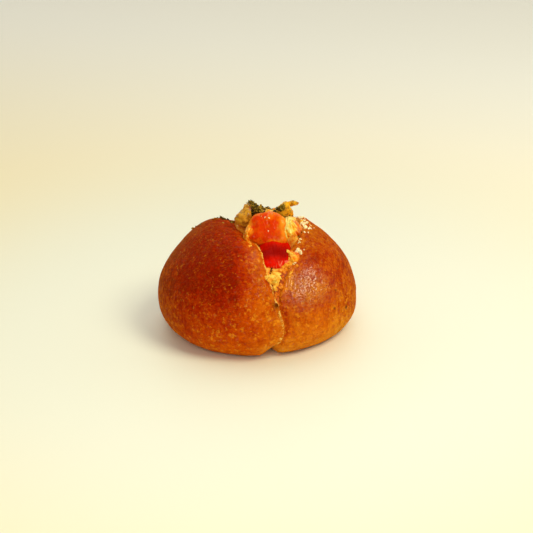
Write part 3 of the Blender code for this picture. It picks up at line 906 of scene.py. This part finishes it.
def scatter_lumps(name, ground, falls, draw):
    """Small uneven lumps, squashed, dented and with a few corners, where they fall."""
    heap = Heap()
    base, faces = pebble(3)
    for point, normal, (size, flat, sunk, tones) in ground.drops(falls, draw):
        grown = size * draw.uniform(0.6, 1.35)
        seed = draw.randrange(9999)
        stretch = np.array((draw.uniform(0.75, 1.35), draw.uniform(0.75, 1.35), flat))
        swell = 1 + waves(base, ((LUMP_ROUGHNESS, 0.9, seed), (0.5 * LUMP_ROUGHNESS, 0.4, seed + 1)))
        local = base * (swell * chipped(base, draw, 11))[:, None] * stretch * grown
        lean = normal + np.array([draw.gauss(0, 0.35) for _ in range(3)])
        turned = local @ turn_to(lean, draw.uniform(0, math.tau)).T
        heap.add(turned + point - normal * grown * sunk, faces, draw.uniform(*tones))
    return heap.finish(name)


def leaf(size, draw):
    """A curled shred of dried leaf: a ragged outline, two faces and a thin rim."""
    count = LEAF_POINTS
    angles = [math.tau * (k + draw.uniform(-0.3, 0.3)) / count for k in range(count)]
    length, width = size * draw.uniform(0.8, 1.3), size * draw.uniform(0.5, 0.95)
    reach = [draw.uniform(0.55, 1.0) for _ in range(count)]
    outline = np.array([(length * r * math.cos(a), width * r * math.sin(a)) for a, r in zip(angles, reach)])
    flat = np.concatenate([[(0.0, 0.0)], outline * 0.55, outline])
    curl, fold = draw.uniform(-0.5, 0.9) / size, draw.uniform(-0.6, 0.6) / size
    lift = curl * flat[:, 0] ** 2 + fold * flat[:, 0] * flat[:, 1] + curl * flat[:, 1] ** 2
    lift += np.array([draw.gauss(0, 0.06 * size) for _ in lift])
    points = np.concatenate([np.column_stack([flat, lift + LEAF_THICKNESS]), np.column_stack([flat, lift])])
    under = len(flat)
    faces = []
    for k in range(count):
        n = (k + 1) % count
        inner, inner_next, outer, outer_next = 1 + k, 1 + n, 1 + count + k, 1 + count + n
        faces += [(0, inner, inner_next), (inner, outer, outer_next, inner_next)]
        faces += [(under, under + inner_next, under + inner)]
        faces += [(under + inner, under + inner_next, under + outer_next, under + outer)]
        faces += [(outer, under + outer, under + outer_next, outer_next)]
    return points, faces


def scatter_leaves(name, ground, falls, draw):
    """Leaf shreds, piled and leaning where they fall."""
    heap = Heap()
    for point, normal, (pile, lean) in ground.drops(falls, draw):
        points, faces = leaf(LEAF_SIZE * draw.uniform(0.55, 1.25), draw)
        tilted = normal + np.array([draw.gauss(0, lean) for _ in range(3)])
        turned = points @ turn_to(tilted, draw.uniform(0, math.tau)).T
        heap.add(turned + point + normal * (LEAF_GAP + pile * draw.random()), faces, draw.random())
    return heap.finish(name)


# Materials ----------------------------------------


class Nodes:
    """Adds shader nodes to a tree. An input is a value or another node's output, and what a method
    returns is the new node's output."""

    def __init__(self, tree):
        self.tree = tree

    def add(self, kind, inputs=None, output=0, **options):
        node = self.tree.nodes.new(kind)
        for option, value in options.items():
            setattr(node, option, value)
        for socket, value in (inputs or {}).items():
            if isinstance(value, bpy.types.NodeSocket):
                self.tree.links.new(value, node.inputs[socket])
            else:
                node.inputs[socket].default_value = value
        return node.outputs[output]

    def calc(self, operation, first, second=0.0, clamp=False):
        """One step of arithmetic."""
        return self.add("ShaderNodeMath", {0: first, 1: second}, operation=operation, use_clamp=clamp)

    def plus(self, first, second, clamp=False):
        return self.calc("ADD", first, second, clamp)

    def minus(self, first, second, clamp=False):
        return self.calc("SUBTRACT", first, second, clamp)

    def times(self, first, second):
        return self.calc("MULTIPLY", first, second)

    def axes(self, vector):
        """The vector's X, Y and Z."""
        return self.add("ShaderNodeSeparateXYZ", {0: vector}).node.outputs

    def span(self, value, low, high, to_low=0.0, to_high=1.0):
        """Carries low to high over to another range, eased and clamped."""
        inputs = {"Value": value, "From Min": low, "From Max": high, "To Min": to_low, "To Max": to_high}
        return self.add("ShaderNodeMapRange", inputs, interpolation_type="SMOOTHSTEP")

    def ramp(self, value, stops):
        """A colour ramp. A stop is a position and a linear colour."""
        made = self.add("ShaderNodeValToRGB", {0: value})
        elements = made.node.color_ramp.elements
        while len(elements) < len(stops):
            elements.new(0.5)
        for element, (position, colour) in zip(elements, stops):
            element.position = position
            element.color = (*colour, 1.0)
        return made

    def mix(self, share, first, second, blend="MIX"):
        """Mixes two colours, each a linear colour or another node's output."""
        inputs = {0: share, 6: first, 7: second}
        for socket in (6, 7):
            if not isinstance(inputs[socket], bpy.types.NodeSocket):
                inputs[socket] = (*inputs[socket], 1.0)
        return self.add("ShaderNodeMix", inputs, 2, data_type="RGBA", blend_type=blend)


class Look(Nodes):
    """A material, with its uniform values set on the shader. A pattern lies at its here, the place in
    the row frame, unless it is given another."""

    def __init__(self, name, **sockets):
        self.made = bpy.data.materials.new(name)
        self.made.use_nodes = True
        super().__init__(self.made.node_tree)
        self.shader = self.tree.nodes["Principled BSDF"]
        for socket, value in sockets.items():
            self.shader.inputs[socket.replace("_", " ")].default_value = value
        self.here = self.spot((1.0, 1.0, 1.0))

    def link(self, **outputs):
        """Links outputs to the shader."""
        for socket, output in outputs.items():
            self.tree.links.new(output, self.shader.inputs[socket.replace("_", " ")])

    def mask(self, name):
        """A number that the mesh holds for each vertex."""
        return self.add("ShaderNodeAttribute", output=2, attribute_name=name)

    def spot(self, stretch):
        """The place in the row frame, longer along each axis by stretch."""
        inputs = {"Vector": self.add("ShaderNodeTexCoord", output=3)}
        inputs["Scale"] = tuple(1 / value for value in stretch)
        return self.add("ShaderNodeMapping", inputs)

    def cloud(self, wavelength, detail=2.0, at=None, twist=0.0):
        """Noise from 0 to 1 in waves of that length."""
        inputs = {"Vector": at or self.here, "Scale": 1 / wavelength, "Detail": detail, "Distortion": twist}
        return self.add("ShaderNodeTexNoise", inputs)

    def vary(self, wavelength, low, high, detail=2.0):
        """Noise that goes from low to high."""
        return self.span(self.cloud(wavelength, detail), 0.3, 0.7, low, high)

    def cells(self, size, at, feature="F1"):
        """Distance in a pattern of cells of that size."""
        return self.add("ShaderNodeTexVoronoi", {"Vector": at, "Scale": 1 / size}, feature=feature)

    def crests(self, pattern, width):
        """1 where a pattern crosses its middle value, and 0 beyond that width of values."""
        away = self.calc("ABSOLUTE", self.minus(pattern, 0.5))
        return self.span(away, 0.0, width, 1.0, 0.0)

    def bump(self, height, depth, under=None):
        """Adds relief of that depth, from 0 to 1, on top of what lies under it."""
        inputs = {"Height": height, "Distance": depth, "Strength": 1.0}
        if under is not None:
            inputs["Normal"] = under
        return self.add("ShaderNodeBump", inputs)


def crust_unevenness(look, bake_and_painted_light, streaks):
    """The crust's darkness from baking and painted light, blotched at three sizes and streaked towards the
    two sides.
    """
    for size, depth in ((0.0055, 0.08), (0.0024, 0.09), (0.0011, 0.09)):
        bake_and_painted_light = look.plus(bake_and_painted_light, look.vary(size, -depth, depth, 3.0), True)
    return look.plus(bake_and_painted_light, streaks, True)


def crust_blisters(look, bake_and_painted_light, low_down):
    """Pale blisters and flecks, fewer where the crust is dark. Their cells are warped a little: the
    warp is noise mixed almost wholly with black, added to the place."""
    warp = look.add("ShaderNodeTexNoise", {"Vector": look.here, "Scale": 600.0, "Detail": 1.0}, 1)
    moved = {0: look.here, 1: look.mix(0.9966, warp, (0.0, 0.0, 0.0))}
    warped = look.add("ShaderNodeVectorMath", moved, operation="ADD")
    blister = look.span(look.cells(0.0032, warped), 0.14, 0.36, 1.0, 0.0)
    blister = look.times(blister, look.span(bake_and_painted_light, 0.5, 0.9, 1.0, 0.1))
    fleck = look.span(look.cells(0.0019, warped), 0.14, 0.34, 1.0, 0.0)
    patchy = look.span(look.cloud(0.0044, 1.0), 0.42, 0.58)
    blister = look.calc("MAXIMUM", blister, look.times(fleck, patchy))
    return look.times(blister, low_down)


def crust_lines(look, egg_wash):
    """Dark cracks with how much they show, and pale veins, both fine and wandering."""
    crack = look.crests(look.cloud(0.0021, 1.5, look.spot((0.8, 1.0, 1.2)), 1.2), 0.045)
    shown = look.plus(look.times(egg_wash, 0.15), 0.1)
    vein = look.crests(look.cloud(0.0015, 1.5, look.spot((2.6, 1.0, 1.0)), 1.0), 0.04)
    vein = look.times(vein, look.span(look.cloud(0.006, 1.0), 0.4, 0.6, 0.08, 0.3))
    return crack, look.times(crack, shown), vein


def crust_skin(look, puckers, egg_wash, side_strands, vein):
    """The relief that the egg wash follows: puckers, strands at the sides, veins and a net of folds."""
    oily = look.plus(look.times(egg_wash, 0.7), 0.3)
    net = look.cells(0.0018, look.spot((1.4, 1.0, 0.8)), "DISTANCE_TO_EDGE")
    skin = look.bump(look.times(puckers, oily), 0.00034)
    skin = look.bump(side_strands, 0.00022, skin)
    skin = look.bump(vein, 0.0001, skin)
    return look.bump(look.span(net, 0.0, 0.25), 0.0001, skin)


def crust_gloss(look, egg_wash, puckers, low_down, torn):
    """How much egg wash shines: in glints too, not on torn crumb, and less between the puckers."""
    glint = look.span(look.cloud(0.0012), 0.56, 0.66, 0.0, 0.35)
    gloss = look.minus(look.plus(egg_wash, look.times(glint, low_down)), torn, True)
    return look.times(gloss, look.span(puckers, 0.38, 0.56, 0.46, 1.0))


def crust_material():
    """Egg-washed crust, baked from golden at the foot to red-brown, with pale blisters, dark pores and fine
    folds, and pale crumb where it is cut. Its colour also holds painted light and shade: the golden foot is
    partly a painted bounce light, a tan painted sheen lies at the sides and under the highlight, and
    painted shade lines the closed cut."""
    sheen = {"Sheen_Weight": 0.21, "Sheen_Roughness": 0.3, "Sheen_Tint": (1.0, 0.56, 0.09, 1.0)}
    coat = {"Specular_IOR_Level": 0.0, "Coat_Roughness": 0.12, "Coat_IOR": 1.85}
    look = Look("glazed_crust", IOR=1.45, **coat, **sheen)
    bake_and_painted_light = look.mask("bake_and_painted_light")
    egg_wash = look.mask("gloss")
    outer = look.span(look.calc("ABSOLUTE", look.axes(look.here)[0]), 0.024, 0.04, 0.1, 1.0)
    strands = look.cloud(0.0009, at=look.spot((1.0, 5.0, 5.0)))
    streaks = look.times(look.span(strands, 0.3, 0.7, -0.12, 0.12), outer)
    baked_and_painted_light = crust_unevenness(look, bake_and_painted_light, streaks)
    # the palest, golden tone is partly a painted bounce light at the foot
    tones = (
        (0.0, (0.86, 0.29, 0.014)),
        (0.3, (0.69, 0.158, 0.004)),
        (0.55, (0.525, 0.076, 0.0018)),
        (0.8, (0.38, 0.022, 0.0005)),
        (1.0, (0.24, 0.012, 0.0004)),
    )
    colour = look.mix(look.mask("ruddy"), look.ramp(baked_and_painted_light, tones), (1.0, 0.67, 0.14), "MULTIPLY")
    # painted sheen and painted highlight colour: the tan mask lifts green and blue at the sides, the right
    # lobe's top and the glossy place
    colour = look.mix(look.mask("tan"), colour, (0.98, 1.42, 1.3), "MULTIPLY")
    low_down = look.span(bake_and_painted_light, 0.1, 1.0, 1.0, 0.4)
    blister = crust_blisters(look, bake_and_painted_light, low_down)
    colour = look.mix(look.times(blister, 0.72), colour, (0.88, 0.33, 0.016))
    crack, crack_shown, vein = crust_lines(look, egg_wash)
    colour = look.mix(crack_shown, colour, (0.2, 0.016, 0.0008))
    colour = look.mix(vein, colour, (0.74, 0.15, 0.004))
    grime = look.span(look.cloud(0.0009), 0.54, 0.72, 0.0, 0.12)
    colour = look.mix(grime, colour, (0.26, 0.02, 0.0008))
    # dark specks: burnt ones, and painted shade in two pits of the closed cut
    colour = look.mix(look.times(look.mask("speck"), 0.85), colour, (0.04, 0.006, 0.001))

    torn = look.span(look.plus(look.mask("crumb"), look.vary(0.0006, -0.25, 0.25)), 0.25, 0.6)
    pale = ((0.3, (0.8, 0.29, 0.018)), (0.5, (0.88, 0.46, 0.07)), (0.7, (0.93, 0.64, 0.2)))
    colour = look.mix(torn, colour, look.ramp(look.cloud(0.0009, 3.0), pale))

    puckers = look.cloud(0.0012, 0.0, look.spot((0.8, 1.6, 1.6)), 0.8)
    skin = crust_skin(look, puckers, egg_wash, look.times(strands, outer), vein)
    surface = look.bump(look.cloud(0.0006), 0.00005, skin)
    surface = look.bump(look.minus(blister, crack), 0.00008, surface)
    rough = look.plus(look.vary(0.003, 0.16, 0.28), look.times(torn, 0.3))
    gloss = crust_gloss(look, egg_wash, puckers, low_down, torn)
    look.link(Base_Color=colour, Roughness=rough, Normal=surface, Coat_Weight=gloss, Coat_Normal=skin)
    return look.made


def toned_look(name, tone, grain, stops, reliefs, rough, **sockets):
    """Soft food coloured by a tone of its mesh. Grain is the length, detail and reach of what varies
    the tone, a relief is a length, detail and depth, and rough a length and the two roughnesses."""
    look = Look(name, **sockets)
    length, detail, reach = grain
    value = look.plus(look.mask(tone), look.vary(length, -reach, reach, detail), True)
    surface = None
    for length, detail, depth in reliefs:
        surface = look.bump(look.cloud(length, detail), depth, surface)
    look.link(Base_Color=look.ramp(value, stops), Roughness=look.vary(*rough))
    if reliefs:
        look.link(Normal=surface)
    return look


def salad_material():
    """Baked mayonnaise salad: cream and yellow, toasted orange-brown in places, glossy with fat."""
    stops = (
        (0.0, (0.92, 0.62, 0.14)),
        (0.35, (0.9, 0.45, 0.055)),
        (0.6, (0.82, 0.26, 0.014)),
        (0.85, (0.6, 0.11, 0.004)),
        (1.0, (0.35, 0.05, 0.004)),
    )
    fat = {"Subsurface_Weight": 0.15, "Subsurface_Scale": 0.002, "Subsurface_Radius": (1.0, 0.5, 0.2)}
    reliefs = ((0.001, 3.0, 0.00016), (0.0004, 2.0, 0.00005))
    rough = (0.002, 0.22, 0.42)
    wet = {"IOR": 1.45, "Specular_IOR_Level": 0.15}
    return toned_look("baked_salad", "toast", (0.0014, 3.0, 0.22), stops, reliefs, rough, **wet, **fat).made


def bits_material():
    """Crumbled bits of egg, potato and cheese, from cream to toasted orange-brown by their tone."""
    stops = (
        (0.0, (0.93, 0.63, 0.11)),
        (0.35, (0.91, 0.43, 0.03)),
        (0.65, (0.84, 0.27, 0.01)),
        (0.96, (0.56, 0.11, 0.005)),
        (1.0, (0.12, 0.02, 0.003)),
    )
    reliefs = ((0.0006, 3.0, 0.0001),)
    rough = (0.0015, 0.25, 0.5)
    fat = {"IOR": 1.45, "Specular_IOR_Level": 0.2, "Subsurface_Weight": 0.12, "Subsurface_Scale": 0.0015}
    return toned_look("salad_bits", "tone", (0.0014, 3.0, 0.24), stops, reliefs, rough, **fat).made


def melt_material():
    """Melted mayonnaise and cheese, wet with fat: pale yellow to toasted orange-brown."""
    stops = (
        (0.0, (0.94, 0.78, 0.24)),
        (0.35, (0.95, 0.54, 0.05)),
        (0.6, (0.88, 0.25, 0.006)),
        (0.85, (0.74, 0.12, 0.002)),
        (1.0, (0.62, 0.09, 0.002)),
    )
    wet = {"IOR": 1.45, "Specular_IOR_Level": 0.4, "Specular_Tint": (1.0, 0.86, 0.5, 1.0)}
    fat = {"Subsurface_Weight": 0.15, "Subsurface_Scale": 0.002}
    rough = (0.0018, 0.1, 0.22)
    look = toned_look("melted_salad", "tone", (0.0016, 3.0, 0.18), stops, (), rough, **wet, **fat)
    look.link(Normal=look.bump(look.cloud(0.001, at=look.spot((1.0, 1.0, 2.0))), 0.00022))
    return look.made


def parsley_material():
    """Dried parsley: dark olive to brown shreds, matt and veined."""
    stops = (
        (0.0, (0.03, 0.018, 0.002)),
        (0.35, (0.105, 0.065, 0.004)),
        (0.7, (0.24, 0.15, 0.01)),
        (1.0, (0.56, 0.33, 0.03)),
    )
    reliefs = ((0.0003, 2.0, 0.00004),)
    rough = (0.0008, 0.55, 0.8)
    matt = {"IOR": 1.4, "Specular_IOR_Level": 0.25}
    return toned_look("dried_parsley", "tone", (0.0005, 2.0, 0.25), stops, reliefs, rough, **matt).made


def crumbs_material():
    """Crumbs of grated cheese: cream with toasted corners."""
    stops = ((0.0, (0.98, 0.91, 0.64)), (0.6, (0.95, 0.74, 0.34)), (1.0, (0.8, 0.38, 0.07)))
    reliefs = ((0.0004, 2.0, 0.00006),)
    rough = (0.001, 0.4, 0.65)
    fat = {"IOR": 1.45, "Subsurface_Weight": 0.1, "Subsurface_Scale": 0.001}
    return toned_look("cheese_crumbs", "tone", (0.0007, 2.0, 0.2), stops, reliefs, rough, **fat).made


def cheese_material(name, plain, browned):
    """Melted cheese, blotched, browned where the mesh's mask says so, and wet in places."""
    pale = tuple(min(1.0, value * 1.7) for value in plain)
    stops = ((0.05, pale), (0.35, plain), (0.75, browned), (1.0, (0.24, 0.03, 0.003)))
    reliefs = ((0.0008, 3.0, 0.0002),)
    rough = (0.002, 0.25, 0.45)
    fat = {"Specular_IOR_Level": 0.03, "Subsurface_Weight": 0.15, "Subsurface_Scale": 0.0015}
    look = toned_look(name, "toast", (0.0018, 3.0, 0.48), stops, reliefs, rough, Coat_Roughness=0.15, **fat)
    look.link(Coat_Weight=look.span(look.cloud(0.0018), 0.5, 0.62, 0.0, 0.7))
    return look.made


def stick_material(name, skin, paler):
    """Crab stick: a dyed wet skin with fine lengthwise fibres, and white flesh at its cut end. Its colour
    also holds painted shade where the upper stick overhangs the lower, and a painted light along the upper
    stick's lower rim.
    """
    flesh = {"Subsurface_Weight": 0.12, "Subsurface_Scale": 0.0015}
    look = Look(name, Specular_IOR_Level=0.02, Coat_Roughness=0.12, **flesh)
    streak = look.cloud(0.0008, at=look.spot((1.0, 6.0, 2.0)))
    # the orange mask holds the toasted top and the lower rim, whose paler orange is partly painted light
    share = look.plus(look.mask("orange"), look.span(streak, 0.3, 0.7, -0.18, 0.18), True)
    share = look.plus(share, look.vary(0.003, -0.25, 0.25), True)
    colour = look.mix(share, skin, paler)
    deep_tone_and_painted_shade = tuple(value * 0.55 for value in skin)
    shade = look.mask("deep_tone_and_painted_shade")
    colour = look.mix(look.span(streak, 0.52, 0.72, 0.0, 0.45), colour, deep_tone_and_painted_shade)
    colour = look.mix(look.times(look.mask("cream"), 0.85), colour, (0.92, 0.36, 0.015))
    # painted shade: dark red where the upper stick overhangs the lower
    colour = look.mix(look.times(shade, 0.85), colour, (0.2, 0.001, 0.0003))
    colour = look.mix(look.span(look.mask("flesh"), 0.35, 0.85, 0.0, 0.8), colour, (0.83, 0.18, 0.1))
    surface = look.bump(look.cloud(0.0007), 0.00006, look.bump(streak, 0.00012))
    wet = look.minus(look.span(look.cloud(0.0016), 0.54, 0.62, 0.0, 0.5), shade, True)
    film = look.bump(look.cloud(0.0012, 1.0), 0.0003, surface)
    rough = look.vary(0.0018, 0.18, 0.36)
    look.link(Base_Color=colour, Roughness=rough, Normal=surface, Coat_Weight=wet, Coat_Normal=film)
    return look.made


def floor_material():
    """A plain cream surface with painted shade: a little deeper in tone and yellower towards the left and
    the front, where less light falls.
    """
    look = Look("cream_floor", IOR=1.4, Roughness=0.45)
    across, back, _ = look.axes(look.here)
    # painted shade: the colour deepens towards the left and the front
    side = look.span(look.plus(back, look.times(across, 0.6)), -0.1, 0.6)
    colour = look.mix(side, (0.96, 0.85, 0.56), (0.99, 1.0, 1.0))
    length = look.add("ShaderNodeVectorMath", {0: look.here}, 1, operation="LENGTH")
    colour = look.mix(look.span(length, 0.1, 0.3, 1.0, 0.0), colour, (0.88, 0.91, 0.86))
    look.link(Base_Color=colour)
    return look.made


# Stage ----------------------------------------


def softbox(name, azimuth, elevation, distance, size, power, colour):
    """A square soft light that looks at the bun."""
    lamp = bpy.data.lights.new(name, "AREA")
    lamp.shape = "SQUARE"
    lamp.size = size
    lamp.energy = power
    lamp.color = colour
    turn, rise = math.radians(azimuth), math.radians(elevation)
    away = Vector((math.sin(turn) * math.cos(rise), -math.cos(turn) * math.cos(rise), math.sin(rise)))
    made = new_object(name, lamp)
    made.location = LIGHT_TARGET + away * distance
    made.rotation_mode = "QUATERNION"
    made.rotation_quaternion = away.to_track_quat("Z", "Y")


def make_floor():
    """A wide plain floor under the bun."""
    mesh = bpy.data.meshes.new("floor")
    corners = ((-1, -1), (1, -1), (1, 1), (-1, 1))
    mesh.from_pydata([(x * FLOOR_REACH, y * FLOOR_REACH, 0.0) for x, y in corners], [], [(0, 1, 2, 3)])
    floor = new_object("floor", mesh)
    floor.location.z = -FLOOR_GAP
    mesh.materials.append(floor_material())
    floor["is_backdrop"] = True


def make_world():
    """Soft room light: a pale backdrop behind and above, and a dimmer room in front."""
    world = bpy.data.worlds.new("studio")
    bpy.context.scene.world = world
    world.use_nodes = True
    room = Nodes(world.node_tree)
    behind = room.span(room.axes(room.add("ShaderNodeTexCoord", output=0))[1], -0.25, 0.55)
    background = room.tree.nodes["Background"].inputs
    room.tree.links.new(room.mix(behind, ROOM_FRONT, ROOM_BACK), background["Color"])
    background["Strength"].default_value = 1.0


def make_camera():
    """The photograph's viewpoint."""
    rise = math.radians(CAMERA_ELEVATION)
    back = Vector((0.0, -math.cos(rise), math.sin(rise)))
    data = bpy.data.cameras.new("camera")
    data.sensor_width = SENSOR
    data.lens = SENSOR * CAMERA_DISTANCE / FRAME_WIDTH
    camera = new_object("camera", data)
    camera.location = Vector(CAMERA_TARGET) + Vector(SHIFT) + back * CAMERA_DISTANCE
    camera.rotation_mode = "QUATERNION"
    roll = Matrix.Rotation(math.radians(CAMERA_ROLL), 4, "Z").to_quaternion()
    camera.rotation_quaternion = (-back).to_track_quat("-Z", "Y") @ roll
    bpy.context.scene.camera = camera


def dress(item, look, node=None):
    """Gives a piece its material and its body, and hides the CAD node that it replaces."""
    item.data.materials.append(look)
    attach(item, "root")
    if node:
        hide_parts(node)


def main():
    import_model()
    cad_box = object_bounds()
    bpy.context.scene.view_settings.view_transform = "Standard"

    bun = make_bun()
    salad = make_salad()
    upper = make_stick("stick_upper", STICK_UPPER, STICK_LOWER, (160, 96), seed=3, lean=0.35, flesh=0.0)
    lower = make_stick("stick_lower", STICK_LOWER, STICK_UPPER, (140, 84), seed=4, lean=0.1, flesh=1.0)
    left = make_cheese("cheese_wedge_left", CHEESE_LEFT, 5, 0.66, 1.5, edge=0.6)
    right = make_cheese("cheese_lump_right", CHEESE_RIGHT, 6, 1.0, 0.9)
    strand = make_cheese("cheese_strand", STRAND, 7, 0.8, 0.25, axis=0)
    melt = make_melt()

    draw = random.Random(11)
    bits = scatter_lumps("salad_bits", Ground([bun, salad, lower, melt]), BIT_FALLS, draw)
    crumbs = scatter_lumps("cheese_crumbs", Ground([bun, upper]), CRUMB_FALLS, draw)
    ground = Ground([bun, bits, salad, upper, lower, left, right, strand, melt])
    leaves = scatter_leaves("parsley_flakes", ground, LEAF_FALLS, draw)

    dress(bun, crust_material(), "bun")
    dress(salad, salad_material(), "salad")
    orange = stick_material("crab_stick_orange", (0.7, 0.038, 0.0004), (0.84, 0.18, 0.0015))
    dress(upper, orange, "crab_stick_upper")
    red = stick_material("crab_stick_red", (0.8, 0.009, 0.0005), (0.86, 0.024, 0.0005))
    dress(lower, red, "crab_stick_lower")
    tan = cheese_material("toasted_cheese_left", (0.37, 0.172, 0.014), (0.38, 0.072, 0.003))
    dress(left, tan, "cheese_left")
    golden = cheese_material("toasted_cheese_right", (0.51, 0.262, 0.012), (0.5, 0.125, 0.004))
    dress(right, golden, "cheese_right")
    dress(strand, golden)
    dress(bits, bits_material())
    dress(melt, melt_material())
    dress(crumbs, crumbs_material())
    dress(leaves, parsley_material())

    make_floor()
    make_world()
    for light in LIGHTS:
        softbox(*light)
    make_camera()

    bpy.context.view_layer.update()
    boxes = {"cad": cad_box, "visual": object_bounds()}
    lists = {name: [list(corner) for corner in box] for name, box in boxes.items()}


main()
